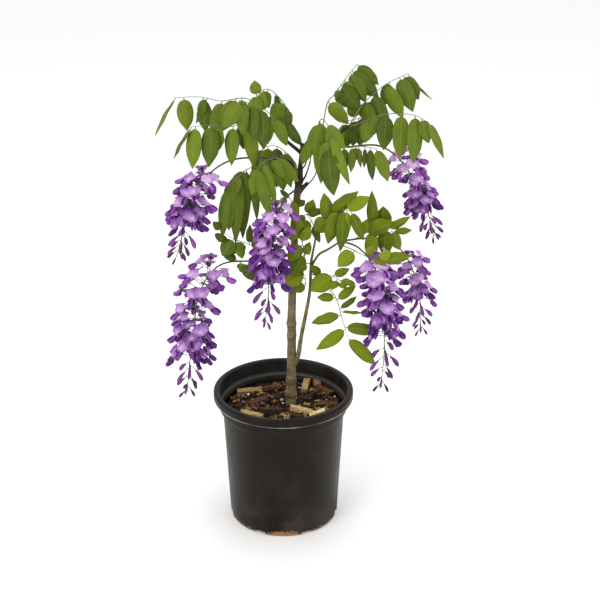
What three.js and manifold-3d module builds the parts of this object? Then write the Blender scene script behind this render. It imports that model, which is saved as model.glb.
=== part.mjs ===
// Wisteria grown as a small standard in a round nursery pot: trunk and second
// stem, compound leaves, hanging flower racemes, bark mulch on potting soil.
// Millimetres, +Z up, origin at the middle of the pot's underside.

import * as THREE from 'three';
import { mergeVertices } from 'three/addons/utils/BufferGeometryUtils.js';
import Module from 'manifold-3d';

const wasm = await Module();
wasm.setup();

// ---------------------------------------------------------------- dimensions

const GAP = 0.35; // clear space between neighbouring pieces
const SUNK = 0.35; // how far small parts reach past the middle of what carries them
const SLIVER = 0.02; // edges shorter than this are closed up
const UP = new THREE.Vector3(0, 0, 1);
const DOWN = new THREE.Vector3(0, 0, -1);
const FRONT = new THREE.Vector3(0, -1, 0);
const GOLDEN_ANGLE = 137.5 * Math.PI / 180;

// Pot: blow-moulded nursery pot with a turned-down rim, all radii outside.
const POT_HEIGHT = 236;
const POT_SIDES = 32;
const POT_WALL = 2.0;
const POT_FLOOR = 2.5;
const BASE_RADIUS = 90.5;
const HEEL_RADIUS = 92.8;
const HEEL_HEIGHT = 2.5;
const STEP_HEIGHT = 198; // where the wall steps out under the collar
const STEP_RADIUS = 102.6;
const COLLAR_RADIUS = 109;
const COLLAR_STEP = 6;
const LIP_HEIGHT = 14; // rim turned down on the outside
const LIP_RADIUS = 118;
const LIP_ROUND = 3;
const MOUTH_RADIUS = 107.6;
const NOTCHES = 7; // drainage notches round the foot
const NOTCH_HEIGHT = 10.5;
const NOTCH_FOOT_WIDTH = 26;
const NOTCH_TOP_WIDTH = 15;
const NOTCH_DEPTH = 16;

// Soil and mulch.
const SOIL_TOP = 191;
const MULCH_TOP = 198;
const MULCH_LUMPS = 3.2;
const MULCH_SIDES = 20;
const CHIP_SEED = 4711;
const CHIP_SHARE = { length: 0.72, width: 0.6, height: 0.5 }; // least share a corner keeps
const CHIP_ROCK = 0.4; // radians, about a chip's own length

// Leaf parts.
const BLADE_HALF_THICKNESS = 0.6;
const BLADE_FOLD = 0.16; // rise of the edges over the midrib, per half width
const RIB_RADIUS = 1.3;
const RIB_TIP_RADIUS = 0.75;
const RIB_STEPS = 5;
// A leaflet's outline: shares of its length, and its half width there per its widest.
const STATIONS = [0, 0.28, 0.68, 1];
const HALF_WIDTHS = [0, 0.94, 0.84, 0];
const LEAFLET_STALK = 3.5;
const BLADE_BOW = 0.055; // rise of the blade over the line from foot to tip, per length

// Raceme parts.
const AXIS_RADIUS = 1.9;
const AXIS_TIP_RADIUS = 0.8;
const AXIS_STEPS = 10;
const BANNER = [[0, 12.6], [9.6, 14.6], [12.6, 4.2], [0, -3.2], [-12.6, 4.2], [-9.6, 14.6]];
const BANNER_REFLEX = [-6, -6.6, -3, 0, -3, -6.6];
const BANNER_LEAN = 0.42; // how far the banner leans back, over its height
const OPEN = { top: 1.9, loss: 2.6, least: 0.3 }; // how open a flower is, less down the raceme
const CLOSED_WIDTH = 0.55; // of a banner that is still closed, per its full width
const KEEL_LENGTH = 15.5;
const KEEL_BELLY = 0.4; // where the wings are widest, as a share of its length
const KEEL_HALF_WIDTH = 4.6;
const KEEL_HEIGHT = 5.4; // of wings and keel above the line of the keel
const KEEL_DEPTH = 1.1; // below that line
const KEEL_FORWARD = 2.6; // how far the wings stand in front of the banner
const BUD_LENGTH = 22;
const BUD_HALF_WIDTH = 3.4;
const BUD_TIP_SIZE = 0.5; // of the last bud, where the first is 1
const BUD_BELLY = 0.6; // where a bud is widest, as a share of its length
const BUD_STALK = 4; // shortest bud stalk
const BUD_STALK_SHARE = 0.3; // what the first bud's stalk adds, per flower stalk
const THROAT_RADIUS = 1.5; // where the flower stalk meets the banner
const BANNER_SET_BACK = 1.6;
const AXIS_END = 0.985; // where the last bud stands on the axis
const CROWDING = 0.75; // below 1, the buds stand closer than the flowers
const TURN_SPREAD = 0.5;
const RISE_SPREAD = 0.3;
const NOD = { top: 0.4, gain: 1.6, spread: 0.4 }; // how steeply the keels point down

// ------------------------------------------------------------------- tools

// Park-Miller generator: the same draws for the same seed.
function makeDice(seed) {
  let state = seed;
  return () => {
    state = (state * 48271) % 2147483647;
    return state / 2147483647;
  };
}

function vec(triple) {
  return new THREE.Vector3(triple[0], triple[1], triple[2]);
}

function blend(a, wa, b, wb) {
  return a.clone().multiplyScalar(wa).addScaledVector(b, wb).normalize();
}

function squareTo(v, axis) {
  return v.clone().addScaledVector(axis, -v.dot(axis)).normalize();
}

function curveThrough(points) {
  return new THREE.CatmullRomCurve3(points.map(vec), false, 'catmullrom', 0.5);
}

function toSolid(geometry) {
  const bare = geometry.clone();
  bare.deleteAttribute('normal');
  bare.deleteAttribute('uv');
  const merged = mergeVertices(bare, 1e-4);
  return new wasm.Manifold(new wasm.Mesh({
    numProp: 3,
    vertProperties: new Float32Array(merged.attributes.position.array),
    triVerts: new Uint32Array(merged.index.array),
  }));
}

function toGeometry(solid) {
  const mesh = solid.getMesh();
  const geometry = new THREE.BufferGeometry();
  geometry.setAttribute('position', new THREE.BufferAttribute(mesh.vertProperties, 3));
  geometry.setIndex(new THREE.BufferAttribute(mesh.triVerts, 1));
  geometry.computeVertexNormals();
  return geometry;
}

// Moves every vertex of a sphere: place(ring, x, z) gives its new point, from its
// ring and where it stands round the ring. Ring 0 and the last one are the poles.
function shapedSphere(sides, rings, place) {
  const geometry = new THREE.SphereGeometry(1, sides, rings);
  const position = geometry.attributes.position;
  for (let i = 0; i < position.count; i += 1) {
    const y = THREE.MathUtils.clamp(position.getY(i), -1, 1);
    const ring = Math.round(Math.acos(y) / Math.PI * rings);
    const round = Math.sin(ring * Math.PI / rings);
    const pole = ring === 0 || ring === rings;
    const x = pole ? 0 : position.getX(i) / round;
    const z = pole ? 0 : position.getZ(i) / round;
    const point = place(ring, x, z);
    position.setXYZ(i, point.x, point.y, point.z);
  }
  return toSolid(geometry);
}

// A tube bent along a curve: a cylinder whose rings are set square to it.
function bentTube(curve, level, radiusAt, sides, steps) {
  const geometry = new THREE.CylinderGeometry(1, 1, 1, sides, steps);
  const position = geometry.attributes.position;
  for (let i = 0; i < position.count; i += 1) {
    const t = 0.5 - position.getY(i);
    const tangent = curve.getTangent(t);
    const side = squareTo(level, tangent);
    const rise = new THREE.Vector3().crossVectors(tangent, side);
    const radius = radiusAt(t);
    const point = curve.getPoint(t)
      .addScaledVector(side, position.getX(i) * radius)
      .addScaledVector(rise, position.getZ(i) * radius);
    position.setXYZ(i, point.x, point.y, point.z);
  }
  return toSolid(geometry);
}

// The middle of such a tube at share t, on the straight run between two rings.
function tubeMiddle(curve, t, steps) {
  const run = Math.min(Math.floor(t * steps), steps - 1);
  return curve.getPoint(run / steps).lerp(curve.getPoint((run + 1) / steps), t * steps - run);
}

function join(solids) {
  let whole = solids[0];
  for (const solid of solids.slice(1)) {
    whole = whole.add(solid);
  }
  return whole;
}

// The largest body of a solid, without slivers; a scrap that a neighbour cuts
// loose is dropped.
function mainBody(solid) {
  return solid.decompose().sort((a, b) => b.volume() - a.volume())[0].simplify(SLIVER);
}

const group = new THREE.Group();

function addPiece(name, solid, colour, roughness) {
  const material = new THREE.MeshStandardMaterial({ color: colour, roughness, metalness: 0 });
  const mesh = new THREE.Mesh(toGeometry(solid), material);
  mesh.name = name;
  group.add(mesh);
}

// --------------------------------------------------------------------- pot

function latheSolid(profile, sides) {
  const points = profile.map(([r, z]) => new THREE.Vector2(r, z));
  const geometry = new THREE.LatheGeometry(points, sides);
  geometry.rotateX(Math.PI / 2);
  return toSolid(geometry);
}

function wallRadius(z) {
  return HEEL_RADIUS + (STEP_RADIUS - HEEL_RADIUS) * (z - HEEL_HEIGHT) / (STEP_HEIGHT - HEEL_HEIGHT);
}

function makePot() {
  const lipFoot = POT_HEIGHT - LIP_HEIGHT;
  const shell = latheSolid([
    [0, 0],
    [BASE_RADIUS, 0],
    [HEEL_RADIUS, HEEL_HEIGHT],
    [STEP_RADIUS, STEP_HEIGHT],
    [COLLAR_RADIUS - 0.6, STEP_HEIGHT + COLLAR_STEP],
    [COLLAR_RADIUS, lipFoot],
    [LIP_RADIUS - 0.8, lipFoot],
    [LIP_RADIUS, lipFoot + 1.5],
    [LIP_RADIUS, POT_HEIGHT - LIP_ROUND],
    [LIP_RADIUS - LIP_ROUND, POT_HEIGHT],
    [MOUTH_RADIUS + 2.5, POT_HEIGHT],
    [MOUTH_RADIUS, POT_HEIGHT - 2.5],
    [MOUTH_RADIUS - 1, STEP_HEIGHT + COLLAR_STEP + 5],
    [STEP_RADIUS - POT_WALL, STEP_HEIGHT + COLLAR_STEP - 1],
    [HEEL_RADIUS - POT_WALL, POT_FLOOR + 1],
    [HEEL_RADIUS - POT_WALL - 2, POT_FLOOR],
    [0, POT_FLOOR],
  ], POT_SIDES);
  // A notch is a wedge-sided block cut across the foot of the wall.
  const outline = new THREE.Shape([
    new THREE.Vector2(-NOTCH_FOOT_WIDTH / 2, -1),
    new THREE.Vector2(NOTCH_FOOT_WIDTH / 2, -1),
    new THREE.Vector2(NOTCH_TOP_WIDTH / 2, NOTCH_HEIGHT),
    new THREE.Vector2(-NOTCH_TOP_WIDTH / 2, NOTCH_HEIGHT),
  ]);
  let pot = shell;
  for (let i = 0; i < NOTCHES; i += 1) {
    const block = new THREE.ExtrudeGeometry(outline, { depth: NOTCH_DEPTH + 6, bevelEnabled: false });
    block.rotateX(Math.PI / 2);
    block.translate(0, -(BASE_RADIUS - NOTCH_DEPTH), 0);
    block.rotateZ((i + 0.5) * 2 * Math.PI / NOTCHES);
    pot = pot.subtract(toSolid(block));
  }
  return pot;
}

// ---------------------------------------------------------- trunk and stems

// Each stem: points on its centreline, radius at foot and tip, sides, steps.
const STEMS = [
  {
    at: [[12, 11, 132], [12, 9, 200], [13, 8, 241], [14, 8, 293], [14, 8, 350], [15, 8, 394],
      [18, 8, 465], [21, 6, 546], [26, 6, 600], [28, 7, 620]],
    foot: 9.0, tip: 5.2, sides: 8, steps: 14,
  },
  { at: [[27, 7, 610], [30, 7, 640], [32, 8, 662]], foot: 4.2, tip: 3.0, sides: 6, steps: 3 },
  { at: [[25, 6, 580], [32, 4, 590], [41, 2, 599]], foot: 3.6, tip: 2.6, sides: 5, steps: 2 },
  {
    at: [[15, 7, 268], [25, 2, 296], [29, -4, 327], [38, -8, 379], [44, -10, 418], [46, -12, 468],
      [52, -12, 505], [54, -12, 530]],
    foot: 4.6, tip: 1.2, sides: 6, steps: 10,
  },
  {
    at: [[45, -12, 460], [58, -13, 482], [74, -15, 493], [95, -18, 509]],
    foot: 2.2, tip: 1.6, sides: 5, steps: 6,
  },
  { at: [[30, 8, 645], [8, 8, 664], [-14, 10, 682]], foot: 3.2, tip: 2.2, sides: 5, steps: 4 },
  { at: [[27, 6, 612], [9, 0, 634], [-12, -4, 641]], foot: 3.2, tip: 2.2, sides: 5, steps: 4 },
  {
    at: [[30, 8, 640], [47, 6, 655], [72, 2, 658], [100, 0, 657]],
    foot: 3.4, tip: 2.2, sides: 6, steps: 6,
  },
  { at: [[76, 2, 657], [88, 8, 675], [107, 10, 690]], foot: 2.8, tip: 2.2, sides: 5, steps: 4 },
  { at: [[31, 8, 650], [45, 10, 668], [64, 10, 678]], foot: 3.2, tip: 2.2, sides: 5, steps: 4 },
];
// Swellings where leaves have dropped: height on the trunk and extra radius.
const SWELLING_SPREAD = 8;
const NODES_ON_TRUNK = [[222, 1.9], [246, 1.2], [330, 0.9], [352, 1.3], [430, 1.1], [520, 1.2], [600, 1.6]];

function trunkSwelling(z) {
  let extra = 0;
  for (const [height, size] of NODES_ON_TRUNK) {
    extra += size * Math.exp(-(((z - height) / SWELLING_SPREAD) ** 2));
  }
  return extra;
}

function makeStems(grow) {
  const tubes = STEMS.map((stem, index) => {
    const curve = curveThrough(stem.at);
    const radiusAt = (t) => {
      const plain = stem.foot + (stem.tip - stem.foot) * t;
      const extra = index === 0 ? trunkSwelling(curve.getPoint(t).z) : 0;
      return plain + extra + grow;
    };
    return bentTube(curve, new THREE.Vector3(0.1, 0.99, 0), radiusAt, stem.sides, stem.steps);
  });
  return join(tubes);
}

const stems = makeStems(0);
const stemRoom = makeStems(GAP);

// ---------------------------------------------------------- soil and mulch

function makeSoil() {
  const inset = POT_WALL + GAP;
  const soil = latheSolid([
    [0, POT_FLOOR + GAP],
    [HEEL_RADIUS - inset - 2.5, POT_FLOOR + GAP],
    [wallRadius(POT_FLOOR + 2) - inset, POT_FLOOR + 2],
    [wallRadius(SOIL_TOP) - inset, SOIL_TOP],
    [0, SOIL_TOP],
  ], POT_SIDES);
  return soil.subtract(stemRoom);
}

// Bark chips that stand out: centre, length, width, thickness, turn, tilt.
const CHIPS = [
  { at: [33, -16, 202], size: [50, 19, 8], turn: -16, tilt: 5 },
  { at: [57, -28, 203], size: [36, 12, 8], turn: 24, tilt: -8 },
  { at: [38, 70, 203], size: [32, 11, 13], turn: 80, tilt: -12 },
  { at: [59, 70, 203], size: [30, 12, 12], turn: 104, tilt: -8 },
  { at: [70, 54, 204], size: [40, 15, 9], turn: -38, tilt: 8 },
  { at: [-54, -32, 202], size: [42, 15, 8], turn: -14, tilt: 6 },
  { at: [-60, 52, 203], size: [52, 14, 8], turn: 16, tilt: 4 },
  { at: [-26, 64, 203], size: [44, 13, 7], turn: 8, tilt: -5 },
  { at: [-20, -16, 202], size: [46, 12, 8], turn: 12, tilt: 7 },
  { at: [-44, 14, 203], size: [40, 13, 8], turn: 28, tilt: -6 },
  { at: [74, 6, 202], size: [44, 14, 8], turn: 8, tilt: 6 },
  { at: [-8, -62, 202], size: [26, 12, 9], turn: 64, tilt: 8 },
  { at: [-76, 6, 199], size: [26, 12, 8], turn: 80, tilt: 5 },
  { at: [-4, 84, 198], size: [30, 11, 7], turn: -6, tilt: 5 },
  { at: [44, 30, 203], size: [28, 12, 8], turn: 48, tilt: -8 },
];
function makeMulch() {
  const edge = wallRadius(SOIL_TOP) - POT_WALL - GAP - 0.6;
  const foot = SOIL_TOP + GAP;
  const points = [[0, foot], [edge, foot], [edge, MULCH_TOP - 2], [edge * 0.7, MULCH_TOP],
    [edge * 0.38, MULCH_TOP], [0, MULCH_TOP]];
  const bed = new THREE.LatheGeometry(points.map(([r, z]) => new THREE.Vector2(r, z)), MULCH_SIDES);
  bed.rotateX(Math.PI / 2);
  const position = bed.attributes.position;
  for (let i = 0; i < position.count; i += 1) {
    const [x, y, z] = [position.getX(i), position.getY(i), position.getZ(i)];
    if (z > foot + 1 && Math.hypot(x, y) < edge - 1) {
      const lump = Math.sin(x / 9.1 + 0.7) * Math.cos(y / 7.3 - 0.4) + 0.5 * Math.sin((x + y) / 5.2);
      position.setZ(i, z + MULCH_LUMPS * lump);
    }
  }
  const dice = makeDice(CHIP_SEED);
  const solids = [toSolid(bed)];
  for (const chip of CHIPS) {
    const box = new THREE.BoxGeometry(...chip.size);
    const corner = box.attributes.position;
    const pinch = [dice(), dice(), dice(), dice()];
    for (let i = 0; i < corner.count; i += 1) {
      const end = corner.getX(i) > 0 ? 0 : 2;
      const side = corner.getY(i) > 0 ? 0 : 1;
      const cut = pinch[end + side];
      const next = pinch[(end + side + 1) % 4];
      corner.setX(i, corner.getX(i) * THREE.MathUtils.lerp(CHIP_SHARE.length, 1, cut));
      corner.setY(i, corner.getY(i) * THREE.MathUtils.lerp(CHIP_SHARE.width, 1, next));
      if (corner.getZ(i) > 0) {
        corner.setZ(i, corner.getZ(i) * THREE.MathUtils.lerp(CHIP_SHARE.height, 1, cut));
      }
    }
    box.rotateY(chip.tilt * Math.PI / 180);
    box.rotateX((dice() - 0.5) * CHIP_ROCK);
    box.rotateZ(chip.turn * Math.PI / 180);
    box.translate(...chip.at);
    solids.push(toSolid(box));
  }
  const room = latheSolid([
    [0, foot],
    [wallRadius(SOIL_TOP) - POT_WALL - GAP, foot],
    [STEP_RADIUS - POT_WALL - GAP, STEP_HEIGHT + COLLAR_STEP - 1],
    [STEP_RADIUS - POT_WALL - GAP, POT_HEIGHT],
    [0, POT_HEIGHT],
  ], POT_SIDES);
  return mainBody(join(solids).intersect(room).subtract(stemRoom));
}

// ------------------------------------------------------------------ leaves

// Each compound leaf: its rib from the wood to the last leaflet, and its leaflets,
// each by its share along the rib, the point of its tip, its width, and how far it
// is turned about its own length from facing the front, in degrees.
const LEAVES = {
  leaf_far_left: {
    rib: [[-4, 12, 674], [-32, 32, 705], [-57, 46, 723], [-97, 60, 715], [-132, 74, 718], [-176, 88, 713]],
    leaflets: [[0.92, -154, 78, 661, 25, -12], [0.77, -124, 68, 662, 22, 14],
      [0.59, -111, 53, 653, 26, 10], [0.48, -94, 44, 671, 29, -20], [0.44, -58, 53, 680, 21, 30],
      [0.73, -140, 80, 672, 19, 55], [0.98, -208, 93, 647, 15, 74], [0.33, -37, 47, 675, 21, -25]],
  },
  leaf_left_low: {
    rib: [[-5, 7, 674], [-22, -8, 700], [-48, -24, 710], [-75, -40, 702], [-109, -54, 708],
      [-137, -66, 708]],
    leaflets: [[0.94, -135, -68, 643, 22, 8], [0.78, -111, -59, 643, 27, -14],
      [0.59, -77, -41, 640, 21, 10], [0.44, -43, -31, 633, 21, -12], [0.69, -101, -33, 659, 20, 40],
      [0.98, -164, -59, 655, 12, 72], [0.27, -28, -17, 658, 20, 24], [0.51, -59, -23, 660, 19, -35]],
  },
  leaf_top_left: {
    rib: [[-12, 10, 681], [8, 13, 710], [-8, 13, 737], [-25, 10, 747], [-40, 6, 735]],
    leaflets: [[0.98, -42, 12, 760, 17, 0], [0.81, -20, 13, 716, 14, 18], [0.69, -33, 7, 712, 20, -12],
      [0.53, -3, 17, 712, 12, 40], [0.42, -13, 9, 692, 22, 12], [0.28, 15, 17, 690, 12, -36],
      [0.36, 3, 7, 673, 20, -10], [0.93, -51, 1, 694, 23, 20], [0.14, 32, 9, 656, 17, -28]],
  },
  leaf_left_front: {
    rib: [[8, 5, 663], [-1, -22, 696], [-21, -38, 724], [-44, -54, 740], [-61, -68, 749]],
    leaflets: [[0.98, -86, -71, 708, 25, 12], [0.93, -58, -68, 695, 19, -16],
      [0.75, -42, -60, 686, 21, 8], [0.59, -28, -49, 674, 21, -20], [0.45, -21, -31, 671, 18, 26],
      [0.39, 8, -38, 670, 18, -24], [0.85, -72, -54, 709, 20, -8]],
  },
  leaf_left_drooping: {
    rib: [[-9, -3, 633], [-31, -17, 632], [-53, -22, 629], [-71, -30, 615], [-87, -36, 599]],
    leaflets: [[0.98, -94, -40, 521, 18, 14], [0.8, -84, -37, 532, 25, -8],
      [0.68, -74, -30, 507, 22, 12], [0.52, -63, -19, 511, 21, -10], [0.43, -40, -19, 542, 14, -30],
      [0.65, -91, -31, 571, 22, 32], [0.55, -82, -15, 582, 20, 20]],
  },
  leaf_front_long: {
    rib: [[-4, -1, 639], [-12, -36, 651], [-27, -58, 651], [-37, -72, 645]],
    leaflets: [[0.98, -18, -77, 569, 18, -14], [0.68, -9, -63, 585, 15, -30],
      [0.94, -46, -67, 600, 20, 22], [0.6, -31, -46, 606, 22, 10], [0.44, 3, -48, 623, 18, -16],
      [0.24, 26, -27, 609, 19, -14]],
  },
  leaf_trunk_front: {
    rib: [[16, 4, 628], [11, 3, 635], [-2, 7, 641], [-18, 10, 640]],
    leaflets: [[0.93, -20, 7, 591, 24, 14], [0.77, 2, 4, 584, 25, -10], [0.56, 14, 4, 589, 19, -24],
      [0.35, 23, 3, 603, 14, 20], [0.67, -13, 1, 616, 24, -6], [0.98, -37, 12, 613, 19, 28]],
  },
  leaf_back_left: {
    rib: [[25, 10, 612], [15, 34, 629], [-11, 58, 642], [-34, 76, 633]],
    leaflets: [[0.98, -46, 71, 584, 21, 10], [0.85, -28, 66, 575, 24, -14], [0.64, -10, 58, 571, 24, 14],
      [0.49, 12, 42, 580, 21, -18], [0.35, 21, 39, 587, 14, 24]],
  },
  leaf_low_left: {
    rib: [[17, 7, 462], [-6, -22, 473], [-33, -30, 494], [-53, -36, 509], [-79, -42, 522], [-96, -46, 537]],
    leaflets: [[0.98, -108, -48, 551, 12, 30], [0.94, -99, -50, 518, 20, -10],
      [0.77, -95, -46, 493, 24, 14], [0.73, -63, -38, 485, 16, -30], [0.59, -51, -32, 541, 13, 35],
      [0.65, -79, -32, 491, 21, -20], [0.4, -48, -24, 518, 16, 20]],
  },
  leaf_low_front: {
    rib: [[17, 7, 440], [-24, -18, 433], [-49, -30, 463], [-72, -36, 482]],
    leaflets: [[0.98, -96, -38, 496, 13, 30], [0.89, -46, -38, 447, 16, -14],
      [0.94, -59, -30, 456, 19, 24], [0.47, -52, -22, 463, 14, 10]],
  },
  leaf_small_shoot: {
    rib: [[22, 6, 556], [20, -8, 563], [12, -14, 578], [3, -18, 585]],
    leaflets: [[0.98, 1, -20, 567, 11, 10], [0.62, -4, -11, 591, 8, 30], [0.58, 23, -17, 548, 16, -14],
      [0.16, 36, -3, 571, 13, 12], [0.34, 14, -11, 542, 13, -20]],
  },
  leaf_top_right: {
    rib: [[62, 10, 677], [70, 18, 721], [81, 28, 733], [93, 38, 748], [107, 46, 765], [118, 54, 776]],
    leaflets: [[0.23, 104, 11, 691, 23, 12], [0.53, 84, 29, 726, 11, 30], [0.58, 123, 31, 705, 25, -13],
      [0.79, 131, 42, 717, 23, 17], [0.83, 152, 55, 723, 26, -14], [0.98, 152, 59, 741, 19, 10],
      [0.43, 109, 37, 710, 22, 24], [0.66, 116, 53, 722, 19, 20]],
  },
  leaf_far_right: {
    rib: [[104, 10, 688], [125, 30, 716], [147, 50, 732], [170, 70, 743], [202, 92, 752]],
    leaflets: [[0.68, 192, 56, 688, 23, 12], [0.88, 209, 75, 693, 26, -10], [0.93, 219, 90, 709, 23, 14],
      [0.98, 242, 98, 707, 11, 68], [0.46, 167, 39, 666, 24, -8], [0.32, 142, 32, 663, 22, 18],
      [0.75, 161, 78, 702, 21, 30]],
  },
  leaf_right_second: {
    rib: [[104, 8, 687], [129, -10, 702], [157, -30, 718], [183, -50, 724], [201, -64, 725],
      [221, -76, 717]],
    leaflets: [[0.58, 179, -52, 654, 24, 8], [0.79, 199, -69, 652, 23, -12],
      [0.88, 221, -73, 685, 21, 18], [0.98, 245, -71, 660, 14, -30], [0.41, 156, -36, 663, 25, 12],
      [0.35, 138, -21, 681, 22, -24], [0.22, 128, -15, 668, 22, 24]],
  },
  leaf_right_front: {
    rib: [[34, 8, 657], [52, -16, 680], [58, -34, 709], [65, -50, 713], [74, -58, 697], [70, -64, 672]],
    leaflets: [[0.36, 39, -37, 648, 20, 14], [0.41, 60, -43, 611, 26, -8], [0.66, 96, -57, 670, 18, -22],
      [0.82, 104, -61, 615, 15, -24], [0.98, 80, -61, 598, 28, 8], [0.89, 61, -55, 634, 23, 16],
      [0.73, 86, -50, 642, 20, -14], [0.09, 31, -19, 634, 16, 12]],
  },
  leaf_right_short: {
    rib: [[62, 3, 657], [90, -8, 660], [111, -14, 663], [130, -18, 663], [147, -22, 661]],
    leaflets: [[0.32, 100, -13, 626, 12, 12], [0.47, 107, -17, 621, 12, -14],
      [0.6, 123, -14, 628, 9, 30], [0.73, 127, -21, 630, 9, -34], [0.84, 141, -23, 610, 13, 14],
      [0.97, 165, -26, 609, 19, -12], [0.23, 87, -4, 628, 16, 18], [0.54, 117, -9, 639, 16, 10]],
  },
  leaf_back_right: {
    rib: [[44, 12, 666], [81, 30, 670], [101, 48, 684], [127, 66, 686]],
    leaflets: [[0.98, 124, 61, 641, 26, 10], [0.88, 109, 65, 714, 21, 12], [0.94, 144, 73, 710, 22, -14],
      [0.84, 113, 63, 640, 23, -14], [0.66, 103, 44, 643, 22, 14], [0.51, 88, 44, 639, 19, -20],
      [0.91, 143, 69, 665, 21, 12]],
  },
  leaf_young_upper: {
    rib: [[53, -12, 524], [66, -20, 524], [77, -27, 556], [92, -33, 567], [109, -38, 564]],
    leaflets: [[0.51, 119, -34, 597, 23, 10], [0.85, 137, -33, 587, 20, -12],
      [0.39, 65, -20, 589, 20, 8], [0.67, 72, -35, 509, 24, -10], [0.89, 96, -37, 508, 18, 16],
      [0.98, 128, -42, 517, 16, -16], [0.42, 50, -21, 527, 24, 16], [0.5, 88, -22, 524, 21, 10],
      [0.81, 91, -49, 501, 19, -14]],
  },
  leaf_young_right: {
    rib: [[92, -16, 508], [117, -12, 510], [140, -8, 521], [162, -4, 524], [178, 0, 516]],
    leaflets: [[0.56, 141, -13, 591, 17, 8], [0.75, 160, 0, 560, 24, -12], [0.84, 205, 3, 542, 15, 14],
      [0.98, 207, -6, 522, 14, 20], [0.53, 142, -11, 471, 21, -8], [0.8, 165, -1, 474, 24, 12],
      [0.32, 136, -9, 542, 14, -20], [0.42, 175, -16, 541, 29, 6], [0.94, 190, 6, 483, 18, -14]],
  },
  leaf_young_tip: {
    rib: [[53, -12, 527], [49, -4, 531], [44, 2, 539], [37, 6, 545]],
    leaflets: [[0.91, 66, -1, 554, 14, 10], [0.94, 58, -3, 553, 13, -20], [0.83, 49, 10, 568, 18, 10],
      [0.52, 28, -5, 520, 18, 14], [0.98, 21, 6, 528, 14, -16], [0.35, 60, -6, 500, 13, 24]],
  },
  leaf_young_left: {
    rib: [[46, -12, 468], [37, -20, 472], [33, -28, 503], [26, -32, 521]],
    leaflets: [[0.93, 34, -29, 537, 9, 14], [0.72, 9, -32, 477, 22, -10], [0.51, 15, -37, 457, 22, 12],
      [0.47, 44, -20, 507, 13, -16], [0.69, 44, -34, 490, 13, 20], [0.89, 7, -35, 538, 22, 10],
      [0.97, 20, -38, 560, 20, -8], [0.76, 42, -37, 540, 19, 16]],
  },
  leaf_young_side: {
    rib: [[87, -17, 503], [109, -58, 509], [127, -88, 510], [152, -106, 508]],
    leaflets: [[0.41, 87, -72, 485, 23, 8], [0.8, 163, -100, 498, 11, 30], [0.98, 198, -99, 514, 20, 14],
      [0.94, 168, -107, 524, 14, -16], [0.71, 142, -87, 526, 14, 12]],
  },
  leaf_mid_right: {
    rib: [[45, -12, 448], [60, -26, 451], [79, -36, 455], [93, -44, 449]],
    leaflets: [[0.72, 44, -41, 431, 29, 8], [0.69, 107, -35, 467, 13, -12],
      [0.98, 101, -40, 435, 14, 10], [0.39, 44, -25, 468, 13, 14], [0.88, 78, -35, 430, 14, -14],
      [0.94, 117, -47, 445, 13, 18]],
  },
  leaf_mid_left: {
    rib: [[17, 7, 420], [34, -16, 426], [37, -24, 443], [33, -30, 459]],
    leaflets: [[0.88, -3, -32, 436, 24, 8], [0.92, 26, -23, 477, 18, -14], [0.7, 5, -20, 455, 23, 20],
      [0.55, 18, -24, 422, 16, 12]],
  },
  leaf_low_right: {
    rib: [[45, -12, 440], [70, -22, 430], [86, -30, 414], [94, -36, 388], [101, -41, 366], [107, -44, 347]],
    leaflets: [[0.4, 55, -34, 417, 14, 10], [0.43, 118, -29, 436, 14, -10],
      [0.54, 119, -38, 421, 11, 14], [0.61, 46, -40, 374, 19, -8], [0.57, 131, -33, 389, 10, 36],
      [0.82, 54, -38, 325, 20, 10], [0.79, 157, -45, 361, 19, -12], [0.98, 152, -42, 299, 21, 6]],
  },
};
const YOUNG_LEAVES = ['leaf_young_upper', 'leaf_young_right', 'leaf_young_tip', 'leaf_young_left',
  'leaf_young_side', 'leaf_mid_right', 'leaf_mid_left', 'leaf_low_right'];

// A leaflet is a thin lens with a folded midrib, bowed towards its upper face.
function leafletSolid(rib, [share, x, y, z, width, turn]) {
  const foot = tubeMiddle(rib, share, RIB_STEPS);
  const tip = new THREE.Vector3(x, y, z);
  const dir = tip.clone().sub(foot).normalize();
  const start = foot.clone().addScaledVector(dir, LEAFLET_STALK);
  const length = start.distanceTo(tip);
  const normal = squareTo(FRONT, dir).applyAxisAngle(dir, turn * Math.PI / 180);
  const across = new THREE.Vector3().crossVectors(normal, dir);
  return shapedSphere(4, 3, (ring, sideways, outwards) => {
    const s = STATIONS[ring];
    const half = HALF_WIDTHS[ring] * width / 2;
    const bow = 4 * s * (1 - s) * BLADE_BOW * length;
    const from = ring === 0 ? foot.clone().addScaledVector(dir, -SUNK) : start.clone();
    const fold = Math.abs(sideways) * half * BLADE_FOLD;
    return from
      .addScaledVector(dir, length * s)
      .addScaledVector(across, sideways * half)
      .addScaledVector(normal, bow + outwards * BLADE_HALF_THICKNESS - fold);
  });
}

function makeLeaf(leaf) {
  const rib = curveThrough(leaf.rib);
  const chord = vec(leaf.rib[leaf.rib.length - 1]).sub(vec(leaf.rib[0]));
  const level = new THREE.Vector3().crossVectors(chord, UP).normalize();
  const radiusAt = (t) => RIB_RADIUS + (RIB_TIP_RADIUS - RIB_RADIUS) * t;
  const solids = [bentTube(rib, level, radiusAt, 3, RIB_STEPS)];
  for (const leaflet of leaf.leaflets) {
    solids.push(leafletSolid(rib, leaflet));
  }
  return mainBody(join(solids).subtract(stemRoom));
}

// ----------------------------------------------------------------- racemes

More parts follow.
